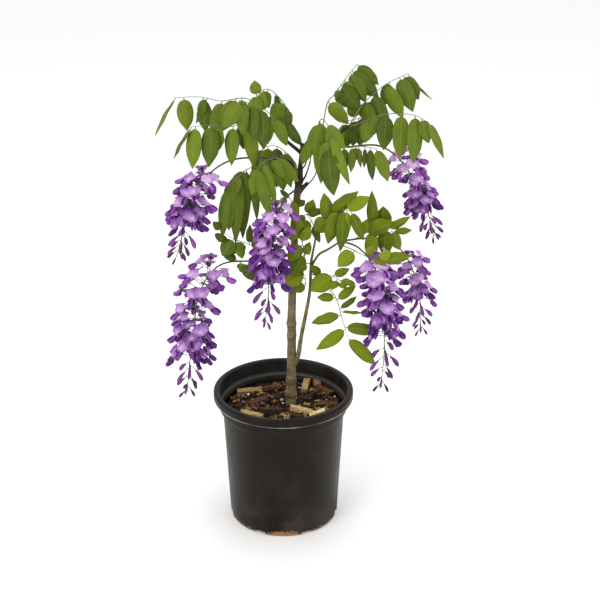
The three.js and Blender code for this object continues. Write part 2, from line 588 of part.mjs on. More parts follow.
// Each raceme: its axis from the wood to the tip, where the first flower
// stands on it, flowers and buds, length of the longest flower stalk, size.
const RACEMES = {
  raceme_left_upper: {
    axis: [[-10, -4, 641], [-74, -22, 644], [-115, -40, 623], [-142, -50, 579],
      [-155, -52, 533], [-166, -54, 494]],
    bare: 0.4, flowers: 13, buds: 13, stalk: 26, size: 1.03, seed: 41,
  },
  raceme_left_lower: {
    axis: [[16, 7, 455], [-53, -10, 470], [-104, -18, 464], [-136, -18, 414], [-148, -18, 333],
      [-156, -18, 285], [-161, -18, 236]],
    bare: 0.36, flowers: 16, buds: 13, stalk: 29, size: 1.1, seed: 42,
  },
  raceme_centre: {
    axis: [[23, 3, 588], [2, -48, 585], [-13, -74, 548], [-19, -80, 495], [-22, -80, 435], [-28, -80, 393]],
    bare: 0.28, flowers: 15, buds: 13, stalk: 24, size: 1.08, seed: 43,
  },
  raceme_right_upper: {
    axis: [[99, 0, 657], [153, 10, 656], [194, 26, 620], [220, 36, 567], [238, 38, 528], [248, 38, 495]],
    bare: 0.36, flowers: 13, buds: 13, stalk: 25, size: 1, seed: 44,
  },
  raceme_right_front: {
    axis: [[94, -19, 508], [122, -42, 504], [147, -58, 474], [159, -60, 417],
      [164, -60, 338], [160, -60, 266]],
    bare: 0.34, flowers: 16, buds: 13, stalk: 26, size: 1.12, seed: 45,
  },
  raceme_right_back: {
    axis: [[92, -15, 506], [136, 22, 497], [180, 48, 481], [212, 60, 437], [227, 62, 389],
      [233, 62, 349], [233, 62, 312]],
    bare: 0.45, flowers: 9, buds: 12, stalk: 23, size: 0.95, seed: 46,
  },
};

// Where the flowers of a raceme stand: foot on the axis, stalk end, and the
// direction each one faces, from the top of the raceme to its tip.
function flowerPlan(raceme) {
  const dice = makeDice(raceme.seed * 7919);
  const axis = curveThrough(raceme.axis);
  const level = new THREE.Vector3(0, 1, 0);
  const count = raceme.flowers + raceme.buds;
  const plan = [];
  for (let i = 0; i < count; i += 1) {
    const along = (i + 0.5) / count;
    const t = THREE.MathUtils.lerp(raceme.bare, AXIS_END, along ** CROWDING);
    const tangent = axis.getTangent(t);
    const side = squareTo(level, tangent);
    const rise = new THREE.Vector3().crossVectors(tangent, side);
    const turn = i * GOLDEN_ANGLE + TURN_SPREAD * (dice() - 0.5);
    const radial = blend(side, Math.cos(turn), rise, Math.sin(turn));
    const hint = i % 2 === 0 ? 0.25 : -0.25;
    const out = new THREE.Vector3(radial.x, radial.y + hint, 0).normalize();
    const bud = i >= raceme.flowers;
    const shrink = bud ? 1 - (i - raceme.flowers) / (raceme.buds + 1) : 1;
    const budStalk = BUD_STALK + BUD_STALK_SHARE * raceme.stalk * shrink;
    const stalk = raceme.size * (bud ? budStalk : raceme.stalk * (1 - 0.25 * along));
    const lift = bud ? -0.6 : 0.55 - 0.9 * along;
    const climb = 0.5 * radial.z + lift + RISE_SPREAD * (dice() - 0.5);
    const reach = new THREE.Vector3(out.x, out.y, climb).normalize();
    const foot = tubeMiddle(axis, t, AXIS_STEPS);
    plan.push({
      bud,
      foot,
      reach,
      out,
      end: foot.clone().addScaledVector(reach, stalk * (0.85 + 0.3 * dice())),
      tangent,
      size: raceme.size * (bud ? THREE.MathUtils.lerp(BUD_TIP_SIZE, 1, shrink) : 0.9 + 0.2 * dice()),
      nod: NOD.top + NOD.gain * along + NOD.spread * dice(),
      open: THREE.MathUtils.clamp(OPEN.top - OPEN.loss * along, OPEN.least, 1),
    });
  }
  return plan;
}

// An open flower: stalk, upright banner petal bent back at its rim, and the
// folded wings and keel pointing out and down.
function flowerSolid(plan) {
  const { foot, reach, out, end, size, nod, open } = plan;
  const wide = size * THREE.MathUtils.lerp(CLOSED_WIDTH, 1, open);
  const up = blend(UP, 1, out, -BANNER_LEAN);
  const side = new THREE.Vector3().crossVectors(UP, out).normalize();
  const face = new THREE.Vector3().crossVectors(side, up);
  const keel = blend(out, 0.75, DOWN, nod);
  const over = squareTo(face, keel);
  return shapedSphere(6, 4, (ring, x, z) => {
    const angle = Math.atan2(z, -x);
    const k = (Math.round(angle / (Math.PI / 3)) + 6) % 6;
    if (ring === 0) {
      return foot.clone().addScaledVector(reach, -SUNK);
    }
    if (ring === 1) {
      return end.clone()
        .addScaledVector(face, -BANNER_SET_BACK)
        .addScaledVector(up, -x * THROAT_RADIUS)
        .addScaledVector(side, z * THROAT_RADIUS);
    }
    if (ring === 2) {
      return end.clone()
        .addScaledVector(side, BANNER[k][0] * wide)
        .addScaledVector(up, BANNER[k][1] * size)
        .addScaledVector(face, BANNER_REFLEX[k] * size + 1);
    }
    if (ring === 3) {
      const height = -x * (x < 0 ? KEEL_HEIGHT : KEEL_DEPTH);
      return end.clone()
        .addScaledVector(keel, KEEL_LENGTH * KEEL_BELLY * size)
        .addScaledVector(face, KEEL_FORWARD * size)
        .addScaledVector(over, height * size)
        .addScaledVector(side, z * KEEL_HALF_WIDTH * size);
    }
    return end.clone().addScaledVector(keel, KEEL_LENGTH * size).addScaledVector(face, 1);
  });
}

// A closed bud: stalk, calyx and the long folded petals, hanging outwards.
function budSolid(plan) {
  const { foot, reach, out, end, tangent, size } = plan;
  const dir = blend(out, 0.5, tangent, 0.8);
  const side = new THREE.Vector3().crossVectors(dir, reach).normalize();
  const up = new THREE.Vector3().crossVectors(side, dir);
  return shapedSphere(4, 3, (ring, x, z) => {
    if (ring === 0) {
      return foot.clone().addScaledVector(reach, -SUNK);
    }
    if (ring === 1) {
      return end.clone().addScaledVector(up, x * 0.9).addScaledVector(side, z * 0.9);
    }
    if (ring === 2) {
      return end.clone()
        .addScaledVector(dir, BUD_LENGTH * BUD_BELLY * size)
        .addScaledVector(up, x * BUD_HALF_WIDTH * size * 1.25)
        .addScaledVector(side, z * BUD_HALF_WIDTH * size);
    }
    return end.clone().addScaledVector(dir, BUD_LENGTH * size);
  });
}

function makeRaceme(raceme) {
  const curve = curveThrough(raceme.axis);
  const radiusAt = (t) => AXIS_RADIUS + (AXIS_TIP_RADIUS - AXIS_RADIUS) * t;
  const solids = [bentTube(curve, new THREE.Vector3(0, 1, 0), radiusAt, 3, AXIS_STEPS)];
  for (const plan of flowerPlan(raceme)) {
    solids.push(plan.bud ? budSolid(plan) : flowerSolid(plan));
  }
  return mainBody(join(solids).subtract(stemRoom));
}

// ---------------------------------------------------------------- assembly

addPiece('pot', makePot(), 0x26241f, 0.45);
addPiece('potting_soil', makeSoil(), 0x2a1c14, 0.95);
addPiece('bark_mulch', makeMulch(), 0x6b442c, 0.9);
addPiece('woody_stems', stems, 0x6e5f45, 0.85);
for (const [name, leaf] of Object.entries(LEAVES)) {
  const young = YOUNG_LEAVES.includes(name);
  addPiece(name, makeLeaf(leaf), young ? 0x6f8f14 : 0x4d7a1c, 0.55);
}
for (const [name, raceme] of Object.entries(RACEMES)) {
  addPiece(name, makeRaceme(raceme), 0x8a55b8, 0.6);
}

export default group;
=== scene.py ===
# A young wisteria trained as a small standard in a round nursery pot, in flower.
# Metres, +Z up, origin at the middle of the pot's underside.

import math

import bmesh
import bpy
from mathutils import Matrix, Vector, noise


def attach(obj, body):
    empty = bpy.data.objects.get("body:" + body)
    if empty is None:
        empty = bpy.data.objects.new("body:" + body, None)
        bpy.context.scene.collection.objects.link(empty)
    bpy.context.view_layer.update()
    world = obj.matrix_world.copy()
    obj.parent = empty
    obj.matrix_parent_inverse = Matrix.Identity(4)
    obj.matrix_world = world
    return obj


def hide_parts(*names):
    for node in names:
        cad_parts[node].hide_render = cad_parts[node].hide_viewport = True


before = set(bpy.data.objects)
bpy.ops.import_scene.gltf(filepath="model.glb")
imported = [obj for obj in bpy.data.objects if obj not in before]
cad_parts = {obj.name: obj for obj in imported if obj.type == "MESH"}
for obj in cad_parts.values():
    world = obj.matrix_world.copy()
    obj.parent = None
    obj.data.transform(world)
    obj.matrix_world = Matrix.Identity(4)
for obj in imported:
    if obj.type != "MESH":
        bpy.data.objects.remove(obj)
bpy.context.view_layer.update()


# ------------------------------------------------------------ camera and studio

# The camera stands in front of the plant and a little above it, and looks down
# past the leaves into the pot. The plant stands on a plain pale studio floor.
CAMERA_PLACE = (0.028, -1.942, 1.239)
CAMERA_PITCH = 66.57
CAMERA_LENS = 77.46
CAMERA_SENSOR = 36
CAMERA_REACH = 60
FLOOR_REACH = 16.0
FLOOR_DROP = 0.0002  # under the pot's foot, so that the two don't meet in one plane
FLOOR_COLOUR = (0.95, 0.95, 0.945, 1)
SOFTBOXES = {  # place, what it points at, width, power and colour
    "key": ((-1.7, -2.0, 2.3), (0, 0, 0.45), 1.5, 34, (1.0, 0.985, 0.96)),
    "fill": ((2.1, -1.5, 1.5), (0, 0, 0.4), 1.6, 12, (0.96, 0.98, 1.0)),
    "top": ((0.2, 0.7, 2.7), (0, 0, 0.3), 1.8, 14, (1.0, 1.0, 1.0)),
}
WORLD_LIGHT = 0.98


def put_in_scene(name, data):
    placed = bpy.data.objects.new(name, data)
    bpy.context.scene.collection.objects.link(placed)
    return placed


def mesh_of(name, shape):
    """A mesh made of a bmesh, which is used up."""
    mesh = bpy.data.meshes.new(name)
    shape.to_mesh(mesh)
    shape.free()
    return mesh


def shader(name, **sockets):
    """A new material, with constants set on its Principled shader's own sockets."""
    material = bpy.data.materials.new(name)
    material.use_nodes = True
    surface = material.node_tree.nodes["Principled BSDF"]
    for socket, value in sockets.items():
        surface.inputs[socket.replace("_", " ")].default_value = value
    return material


camera = put_in_scene("camera", bpy.data.cameras.new("camera"))
camera.location = CAMERA_PLACE
camera.rotation_euler = (math.radians(CAMERA_PITCH), 0, 0)
camera.data.sensor_width = CAMERA_SENSOR
camera.data.lens = CAMERA_LENS
camera.data.clip_end = CAMERA_REACH
bpy.context.scene.camera = camera
bpy.context.scene.view_settings.view_transform = "Standard"

floor_shape = bmesh.new()
bmesh.ops.create_grid(floor_shape, x_segments=1, y_segments=1, size=FLOOR_REACH)
bmesh.ops.translate(floor_shape, verts=floor_shape.verts, vec=(0, 0, -FLOOR_DROP))
floor = put_in_scene("floor", mesh_of("floor", floor_shape))
floor.data.materials.append(shader("pale floor", Base_Color=FLOOR_COLOUR, Roughness=0.8))

for light_name, (stand, target, width, power, light_colour) in SOFTBOXES.items():
    light = bpy.data.lights.new(light_name, "AREA")
    light.shape = "SQUARE"
    light.size = width
    light.energy = power
    light.color = light_colour
    softbox = put_in_scene(light_name, light)
    softbox.location = stand
    softbox.rotation_euler = (Vector(target) - Vector(stand)).to_track_quat("-Z", "Y").to_euler()

world = bpy.data.worlds.new("studio")
world.use_nodes = True
world.node_tree.nodes["Background"].inputs["Color"].default_value = (1, 1, 1, 1)
world.node_tree.nodes["Background"].inputs["Strength"].default_value = WORLD_LIGHT
bpy.context.scene.world = world


# ------------------------------------------------------------------------- pot

# A nursery pot, blow-moulded from black recycled plastic in one piece: tapered
# wall, a step out under the collar, a rim turned down on the outside, and seven
# drainage notches round the foot. Its gloss is dulled by handling and dust.
MM = 0.001
UP = Vector((0, 0, 1))
WELD = 1e-6
POT_SIDES = 144
POT_OUTLINE = [  # radius, height and corner rounding, from under the foot up and down inside
    (0, 0, 0), (90.5, 0, 0.8), (92.8, 2.5, 1.2), (102.6, 198, 2.5), (108.4, 204, 2.5), (109, 222, 0.6),
    (117.2, 222, 0.7), (118, 223.5, 0.7), (118, 236, 4.2), (107.6, 236, 3.4), (106.6, 209, 2.5),
    (100.6, 203, 2.0), (90.8, 3.5, 1.0), (88.8, 2.5, 0.6), (0, 2.5, 0),
]
POT_CORNER_STEPS = 5
POT_SHARP_ANGLE = 38
NOTCHES = 7
NOTCH_OUTLINE = [(-13, -1), (13, -1), (7.5, 10.5), (-7.5, 10.5)]
NOTCH_INNER = 74.5
NOTCH_OUTER = 97
POT_COLOUR = (0.0076, 0.0055, 0.0041, 1)
POT_TINT = (1.0, 0.90, 0.80, 1)
DUST_COLOUR = (0.20, 0.165, 0.125, 1)
DIRT_COLOUR = (0.36, 0.19, 0.085, 1)
# Painted highlight colour for the lower edge of the rim's lip.
LIP_HIGHLIGHT_COLOUR = (0.30, 0.30, 0.285, 1)
# Painted highlight and sheen colour for the wall inside.
INNER_HIGHLIGHT_COLOUR = (0.085, 0.088, 0.086, 1)
# The lip's lower edge carries a painted highlight in this band.
LIP_HIGHLIGHT_BAND = (0.2212, 0.2222, 0.2232, 0.2246)  # heights at which a band comes in, is full, fades and ends
# Heights of the painted highlight on the brink of the inner ledge.
LEDGE_BRINK = (0.2066, 0.2080, 0.2115, 0.2145)
MUD_PLACE = (-0.0016, 0.046, -0.002)
MUD_SPREAD = (0.62, 0.5, 1.7)


def round_corners(outline, corner_steps):
    """The outline with each inner point replaced by an arc of its own radius."""
    points = []
    for i, (r, z, radius) in enumerate(outline):
        here = Vector((r, 0, z))
        if i in (0, len(outline) - 1):
            points.append(here)
            continue
        before = Vector((outline[i - 1][0], 0, outline[i - 1][1])) - here
        after = Vector((outline[i + 1][0], 0, outline[i + 1][1])) - here
        reach = radius / math.tan(before.angle(after) / 2)
        reach = min(reach, before.length * 0.49, after.length * 0.49)
        start, end = here + before.normalized() * reach, here + after.normalized() * reach
        for k in range(corner_steps + 1):
            t = k / corner_steps
            points.append(start * (1 - t) ** 2 + here * 2 * t * (1 - t) + end * t ** 2)
    return points


def turn_outline(shape, points, sides):
    """Turns an outline in millimetres, which starts and ends on the axis, into a closed shape."""
    corners = [shape.verts.new(point * MM) for point in points]
    edges = [shape.edges.new(pair) for pair in zip(corners, corners[1:])]
    bmesh.ops.spin(shape, geom=corners + edges, cent=(0, 0, 0), axis=UP, angle=math.tau, steps=sides,
                   use_merge=True)
    bmesh.ops.remove_doubles(shape, verts=shape.verts, dist=WELD)
    bmesh.ops.recalc_face_normals(shape, faces=shape.faces)


def make_pot():
    """The turned wall, with the drainage notches cut through it."""
    wall_shape, notch_shape = bmesh.new(), bmesh.new()
    turn_outline(wall_shape, round_corners(POT_OUTLINE, POT_CORNER_STEPS), POT_SIDES)
    for i in range(NOTCHES):
        inner = [notch_shape.verts.new(Vector((x, -NOTCH_INNER, z)) * MM) for x, z in NOTCH_OUTLINE]
        grown = bmesh.ops.extrude_face_region(notch_shape, geom=[notch_shape.faces.new(inner)])["geom"]
        outer = [item for item in grown if isinstance(item, bmesh.types.BMVert)]
        bmesh.ops.translate(notch_shape, verts=outer, vec=(0, (NOTCH_INNER - NOTCH_OUTER) * MM, 0))
        turn = Matrix.Rotation((i + 0.5) * math.tau / NOTCHES, 4, "Z")
        bmesh.ops.transform(notch_shape, matrix=turn, verts=inner + outer)
    bmesh.ops.recalc_face_normals(notch_shape, faces=notch_shape.faces)
    wall = put_in_scene("pot_wall", mesh_of("pot_wall", wall_shape))
    notches = put_in_scene("pot_notches", mesh_of("pot_notches", notch_shape))
    cut = wall.modifiers.new("notches", "BOOLEAN")
    cut.operation = "DIFFERENCE"
    cut.solver = "EXACT"
    cut.object = notches
    view = bpy.context.evaluated_depsgraph_get()
    cut_mesh = bpy.data.meshes.new_from_object(wall.evaluated_get(view))
    bpy.data.objects.remove(wall)
    bpy.data.objects.remove(notches)
    return cut_mesh


class Wire:
    """A value that runs between two shader nodes. Arithmetic with wires adds Math nodes."""

    def __init__(self, socket):
        self.socket = socket

    def node(self, kind, inputs, output=0, **options):
        """A wire from a new node of the same tree, with its options set and its inputs filled or linked."""
        tree = self.socket.id_data
        made = tree.nodes.new("ShaderNode" + kind)
        for option, value in options.items():
            setattr(made, option, value)
        for name, value in inputs.items():
            if isinstance(value, Wire):
                tree.links.new(value.socket, made.inputs[name])
            else:
                made.inputs[name].default_value = value
        return Wire(made.outputs[output])

    def beside(self, output):
        """A wire from another output of the same node."""
        return Wire(self.socket.node.outputs[output])

    def calc(self, operation, other=0.0):
        return self.node("Math", {0: self, 1: other}, operation=operation)

    def __add__(self, other):
        return self.calc("ADD", other)

    def __sub__(self, other):
        return self.calc("SUBTRACT", other)

    def __mul__(self, other):
        return self.calc("MULTIPLY", other)

    def __abs__(self):
        return self.calc("ABSOLUTE")

    def steps(self, low, high):
        """0 where the value is under low, 1 where it is over high."""
        ends = {"Value": self, "From Min": low, "From Max": high}
        return self.node("MapRange", ends, interpolation_type="SMOOTHSTEP")

    def band(self, start, full, fade, stop):
        """1 between full and fade, 0 before start and after stop."""
        return self.steps(start, full) * self.steps(stop, fade)

    def mapped(self, **inputs):
        return self.node("Mapping", {"Vector": self, **inputs})

    def length(self):
        return self.node("VectorMath", {0: self}, "Value", operation="LENGTH")

    def noise(self, scale, detail, roughness=0.5):
        values = {"Vector": self, "Scale": scale, "Detail": detail, "Roughness": roughness}
        return self.node("TexNoise", values)


def place_in(material):
    """A material's first wire: where on the piece a point lies."""
    return Wire(material.node_tree.nodes.new("ShaderNodeTexCoord").outputs["Object"])


def mix(share, first, second, blend="MIX"):
    """From the first colour to the second as the share goes from 0 to 1."""
    return share.node("Mix", {0: share, 6: first, 7: second}, 2, data_type="RGBA", blend_type=blend)


def lead_in(material, colour=None, relief=None, strength=1.0, depth=0.0, rough=None):
    """Leads a colour, a relief and a roughness that change over the surface into the material's shader."""
    leads = {"Base Color": colour, "Roughness": rough}
    if relief:
        bump = {"Height": relief, "Strength": strength, "Distance": depth}
        leads["Normal"] = relief.node("Bump", bump, "Normal")
    for name, wire in leads.items():
        if wire:
            surface = material.node_tree.nodes["Principled BSDF"]
            material.node_tree.links.new(wire.socket, surface.inputs[name])
    return material


def pot_plastic():
    material = shader("black pot plastic", Specular_IOR_Level=0.13, Specular_Tint=POT_TINT)
    place = place_in(material)
    height = place.node("SeparateXYZ", {0: place}, 2)
    radius = place.node("VectorMath", {0: place, 1: (1, 1, 0)}, operation="MULTIPLY").length()
    cloud, fine, speckle = place.noise(16, 6, 0.62), place.noise(620, 3), place.noise(230, 7, 0.75)
    # A film of dust, thicker towards the foot.
    film = cloud.steps(0.40, 0.75) * (height.steps(0.075, 0.0) + 0.25)
    colour = mix(film * 0.22, POT_COLOUR, DUST_COLOUR)
    # Painted highlight: a pale band along the turned edge under the rim, where it catches the light.
    edge = height.band(*LIP_HIGHLIGHT_BAND) * radius.steps(0.1145, 0.1165) * cloud.steps(0.30, 0.58)
    colour = mix(edge, colour, LIP_HIGHLIGHT_COLOUR)
    # Painted highlight along the brink of the ledge inside, and painted sheen in patches on the wall above
    # it.
    above = height.steps(0.2090, 0.2110) * cloud.steps(0.25, 0.65)
    inside = (height.band(*LEDGE_BRINK) * 0.75 + above * 0.22) * radius.steps(0.1086, 0.1078)
    colour = mix(inside, colour, INNER_HIGHLIGHT_COLOUR)
    # Dried mud is splashed on the foot, most of all at the front.
    front = place.mapped(Location=MUD_PLACE, Scale=MUD_SPREAD).length().steps(0.026, 0.008)
    near = front.calc("MAXIMUM", height.steps(0.014, 0.002) * 0.6)
    mud = (speckle + near * 0.22).steps(0.56, 0.72) * near.steps(0.0, 0.7)
    colour = mix(mud, colour, mix(cloud.steps(0.4, 0.6), DIRT_COLOUR, DUST_COLOUR))
    rough = cloud * 0.16 + 0.27 + (film + mud) * 0.4
    return lead_in(material, colour, cloud * 0.8 + fine * 0.2 + mud, 0.3, 0.0006, rough)


def finish_piece(name, mesh, materials, node):
    """Makes an object of a mesh or bmesh, which stands for the CAD node named."""
    if isinstance(mesh, bmesh.types.BMesh):
        mesh = mesh_of(name, mesh)
    piece = put_in_scene(name, mesh)
    for material in materials:
        mesh.materials.append(material)
    mesh.shade_smooth()
    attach(piece, "root")
    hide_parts(node)
    return piece


pot = finish_piece("pot_shell", make_pot(), [pot_plastic()], "pot")
pot.data.set_sharp_from_angle(angle=math.radians(POT_SHARP_ANGLE))


# ---------------------------------------------------------------- potting soil

# Damp peat and composted bark, filled in round the roots and firmed level under
# the mulch. Only specks of it show between the chips.
SOIL_DARK = (0.012, 0.007, 0.004, 1)
SOIL_LIGHT = (0.055, 0.030, 0.017, 1)


def potting_soil():
    material = shader("potting soil", Roughness=0.95, Specular_IOR_Level=0.2)
    place = place_in(material)
    grain = place.noise(260, 8, 0.75)
    crumb = place.node("TexVoronoi", {"Vector": place, "Scale": 190}, "Distance")
    return lead_in(material, mix(grain.steps(0.35, 0.7), SOIL_DARK, SOIL_LIGHT), grain + crumb, 0.9, 0.002)


soil = potting_soil()
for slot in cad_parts["potting_soil"].material_slots:
    slot.material = soil


# ------------------------------------------------------------------ bark mulch

# Shredded and chipped bark spread over the soil: dark crumbs and fines, with
# split chips of heartwood and outer bark lying in them every way round, and a
# few white grains of perlite that have worked up from the mix.
MULCH_RADIUS = 98.5
MULCH_FOOT = 191.4
MULCH_TOP = 198.0
MULCH_LUMPS = 2.56
MULCH_CRUMBS = 1.5
MULCH_RINGS = 52
MULCH_SIDES = 168
BED_TONE = 0.06
CHIP_SEED = 4711
BIG_CHIPS = [  # centre, length, width and thickness, turn, tilt and tone
    ((33, -16, 202), (50, 19, 8), -16, 5, 0.90), ((57, -28, 203), (36, 12, 8), 24, -8, 1.0),
    ((38, 70, 203), (32, 11, 13), 80, -12, 0.78), ((59, 70, 203), (30, 12, 12), 104, -8, 0.72),
    ((70, 54, 204), (40, 15, 9), -38, 8, 0.52), ((-54, -32, 202), (42, 15, 8), -14, 6, 0.82),
    ((-60, 52, 203), (52, 14, 8), 16, 4, 0.76), ((-26, 64, 203), (44, 13, 7), 8, -5, 0.52),
    ((-20, -16, 202), (46, 12, 8), 12, 7, 0.34), ((-44, 14, 203), (40, 13, 8), 28, -6, 0.44),
    ((74, 6, 202), (44, 14, 8), 8, 6, 0.48), ((-8, -62, 202), (26, 12, 9), 64, 8, 0.55),
    ((-76, 6, 199), (26, 12, 8), 80, 5, 0.34), ((-4, 84, 198), (30, 11, 7), -6, 5, 0.48),
    ((44, 30, 203), (28, 12, 8), 48, -8, 0.30),
]
SMALL_CHIPS = 980
CHIPS_REACH = 94
CHIPS_EDGE = 97
TRUNK_GAP = (12, 9, 14)  # x, y and radius of the space that the chips leave round the trunk
PERLITE_GRAINS = 12
PERLITE_REACH = 88
LARGE_PERLITE = [(-61, 42, 2.5), (88, 36, 2.2), (-28, -9, 1.9)]  # x, y and size
PERLITE_COLOUR = (0.8, 0.79, 0.75, 1)
CHIP_SHADES = [
    (0.0, (0.004, 0.002, 0.001, 1)), (0.30, (0.026, 0.011, 0.005, 1)), (0.50, (0.090, 0.042, 0.018, 1)),
    (0.70, (0.23, 0.125, 0.055, 1)), (0.86, (0.50, 0.34, 0.145, 1)), (1.0, (0.80, 0.66, 0.36, 1)),
]
OLIVE_CAST = (0.92, 0.93, 0.58, 1)
PINK_CAST = (1.0, 0.84, 0.80, 1)


def roll_dice(seed):
    """Park-Miller draws between 0 and 1, the same for the same seed."""
    state = seed
    while True:
        state = state * 48271 % 2147483647
        yield state / 2147483647


def mulch_height(x, y):
    """Height of the bed in millimetres: coarse lumps with finer crumbs on them."""
    lump = math.sin(x / 9.1 + 0.7) * math.cos(y / 7.3 - 0.4) + 0.5 * math.sin((x + y) / 5.2)
    crumb = noise.noise(Vector((x, y, 3)) / 3.1) + 0.6 * noise.noise(Vector((x, y, 8)) / 1.4)
    return MULCH_TOP + MULCH_LUMPS * lump + MULCH_CRUMBS * crumb


def new_shape():
    """An empty bmesh with a tone at each vertex, which makes its colour lighter or darker, and a UV map."""
    shape = bmesh.new()
    shape.verts.layers.float.new("tone")
    shape.loops.layers.uv.new("UVMap")
    return shape


def set_tone(shape, verts, tone):
    layer = shape.verts.layers.float["tone"]
    for vert in verts:
        vert[layer] = tone


def make_bed():
    """A disc with a lumpy top."""
    shape = new_shape()
    outline = [Vector((0, 0, MULCH_FOOT)), Vector((MULCH_RADIUS, 0, MULCH_FOOT))]
    for k in range(MULCH_RINGS, -1, -1):
        outline.append(Vector((MULCH_RADIUS * k / MULCH_RINGS, 0, MULCH_TOP - 2)))
    turn_outline(shape, outline, MULCH_SIDES)
    for vert in shape.verts:
        x, y, z = vert.co / MM
        if z > MULCH_FOOT + 1:
            vert.co.z = mulch_height(x, y) * MM
    set_tone(shape, shape.verts, BED_TONE)
    return shape


def lay_chip(at, turn, rock, tilt):
    return (Matrix.Translation(at) @ Matrix.Rotation(turn, 4, "Z") @ Matrix.Rotation(rock, 4, "X")
            @ Matrix.Rotation(tilt, 4, "Y"))


def add_chip(shape, scratch, size, place, tone, dice, corner=None):
    """A split chip: a block with uneven corners and a roughened, splintered skin."""
    chip = new_shape()
    bmesh.ops.create_cube(chip, size=1)
    length, width, thickness = size
    for vert in chip.verts:
        x, y, z = vert.co
        if corner:
            end, side = (0 if x > 0 else 2), (0 if y > 0 else 1)
            cut, following = corner[end + side], corner[(end + side + 1) % 4]
        else:
            cut, following = next(dice), next(dice)
        lower = 0.5 + 0.5 * cut if z > 0 else 1
        shrunk = (length * (0.72 + 0.28 * cut), width * (0.6 + 0.4 * following), thickness * lower)
        vert.co = (x * shrunk[0], y * shrunk[1], z * shrunk[2])
    long_edges = [e for e in chip.edges if abs((e.verts[0].co - e.verts[1].co).x) > length * 0.4]
    bmesh.ops.subdivide_edges(chip, edges=long_edges, cuts=3 if length > 24 else 2, use_grid_fill=True)
    for vert in chip.verts:
        rough = noise.noise_vector(vert.co * 0.23 + Vector((tone * 50, length, width)))
        vert.co += Vector((rough.x * 1.2, rough.y * width * 0.10, rough.z * thickness * 0.20))
        vert.co = place @ vert.co * MM
    set_tone(chip, chip.verts, tone)
    chip.to_mesh(scratch)
    chip.free()
    shape.from_mesh(scratch)


def make_chips():
    """The large chips where they stand out, and small ones strewn between them."""
    shape = new_shape()
    scratch = bpy.data.meshes.new("chip")
    dice = roll_dice(CHIP_SEED)
    noise.seed_set(CHIP_SEED)  # noise_vector starts from the clock otherwise
    for at, size, turn, tilt, tone in BIG_CHIPS:
        pinch = [next(dice) for _ in range(4)]
        place = lay_chip(at, math.radians(turn), (next(dice) - 0.5) * 0.4, math.radians(tilt))
        add_chip(shape, scratch, size, place, tone, dice, pinch)
    for _ in range(SMALL_CHIPS):
        angle, out = math.tau * next(dice), CHIPS_REACH * math.sqrt(next(dice))
        x, y = out * math.cos(angle), out * math.sin(angle)
        size = (5 + 19 * next(dice) ** 2.4, 2.0 + 4.6 * next(dice), 1.2 + 2.4 * next(dice))
        turn, tilt, rock = math.tau * next(dice), 0.9 * (next(dice) - 0.5), 1.1 * (next(dice) - 0.5)
        tone = 0.10 + 0.78 * next(dice) ** 1.9
        at_trunk = math.hypot(x - TRUNK_GAP[0], y - TRUNK_GAP[1]) < TRUNK_GAP[2]
        if at_trunk or out + size[0] / 2 > CHIPS_EDGE:
            continue
        height = mulch_height(x, y) + 0.4 + 1.8 * next(dice)
        add_chip(shape, scratch, size, lay_chip((x, y, height), turn, rock, tilt), tone, dice)
    bpy.data.meshes.remove(scratch)
    bmesh.ops.recalc_face_normals(shape, faces=shape.faces)
    return shape


def make_perlite():
    """Round, dented grains that lie on the bed."""
    shape = bmesh.new()
    dice = roll_dice(CHIP_SEED + 1)
    grains = list(LARGE_PERLITE)
    for _ in range(PERLITE_GRAINS):
        angle, out = math.tau * next(dice), PERLITE_REACH * math.sqrt(next(dice))
        grains.append((out * math.cos(angle), out * math.sin(angle), 0.8 + 0.9 * next(dice)))
    for x, y, wide in grains:
        for vert in bmesh.ops.create_icosphere(shape, subdivisions=2, radius=wide)["verts"]:
            vert.co *= 1 + 0.45 * noise.noise(vert.co * 0.9 + Vector((x, y, 0)))
            vert.co = (vert.co + Vector((x, y, mulch_height(x, y) + 1.6))) * MM
    return shape


def new_group(name, inputs, outputs):
    """A node group with named sockets. Gives it with its inputs as wires and its output node."""
    group = bpy.data.node_groups.new(name, "ShaderNodeTree")
    for in_out, sockets in (("INPUT", inputs), ("OUTPUT", outputs)):
        for socket, kind in sockets.items():
            group.interface.new_socket(name=socket, in_out=in_out, socket_type="NodeSocket" + kind)
    given = group.nodes.new("NodeGroupInput")
    return group, [Wire(given.outputs[socket]) for socket in inputs], group.nodes.new("NodeGroupOutput")


def patchy_tone():
    """Node group: how light a chip, leaf or petal is, by its own tone and by the patches on it."""
    numbers = ("Tone", "Scale", "Detail", "Roughness", "Tone share", "Patch share", "Lift")
    group, wires, result = new_group("Patchy tone", {"Place": "Vector", **dict.fromkeys(numbers, "Float")},
                                     {"Lightness": "Float", "Patch": "Float"})
    place, tone, scale, detail, roughness, tone_share, patch_share, lift = wires
    patch = place.noise(scale, detail, roughness)
    group.links.new((tone * tone_share + patch * patch_share + lift).socket, result.inputs["Lightness"])
    group.links.new(patch.socket, result.inputs["Patch"])
    return group


patchy_tone_group = patchy_tone()


def lightness_at(place, scale, detail, roughness, tone_share, patch_share, lift):
    """How light a piece is at a place, by the tone of its vertices and by patches."""
    values = {"Scale": scale, "Detail": detail, "Roughness": roughness,
              "Tone share": tone_share, "Patch share": patch_share, "Lift": lift}
    tone = place.node("Attribute", {}, "Fac", attribute_name="tone")
    return place.node("Group", {"Place": place, "Tone": tone, **values}, node_tree=patchy_tone_group)


def shade_by(value, shades):
    """The colour for a value between 0 and 1, from a list of values and colours."""
    ramp = value.node("ValToRGB", {"Fac": value})
    stops = ramp.socket.node.color_ramp.elements
    while len(stops) < len(shades):
        stops.new(0.5)
    for stop, (at, colour) in zip(stops, shades):
        stop.position = at
        stop.color = colour
    return ramp


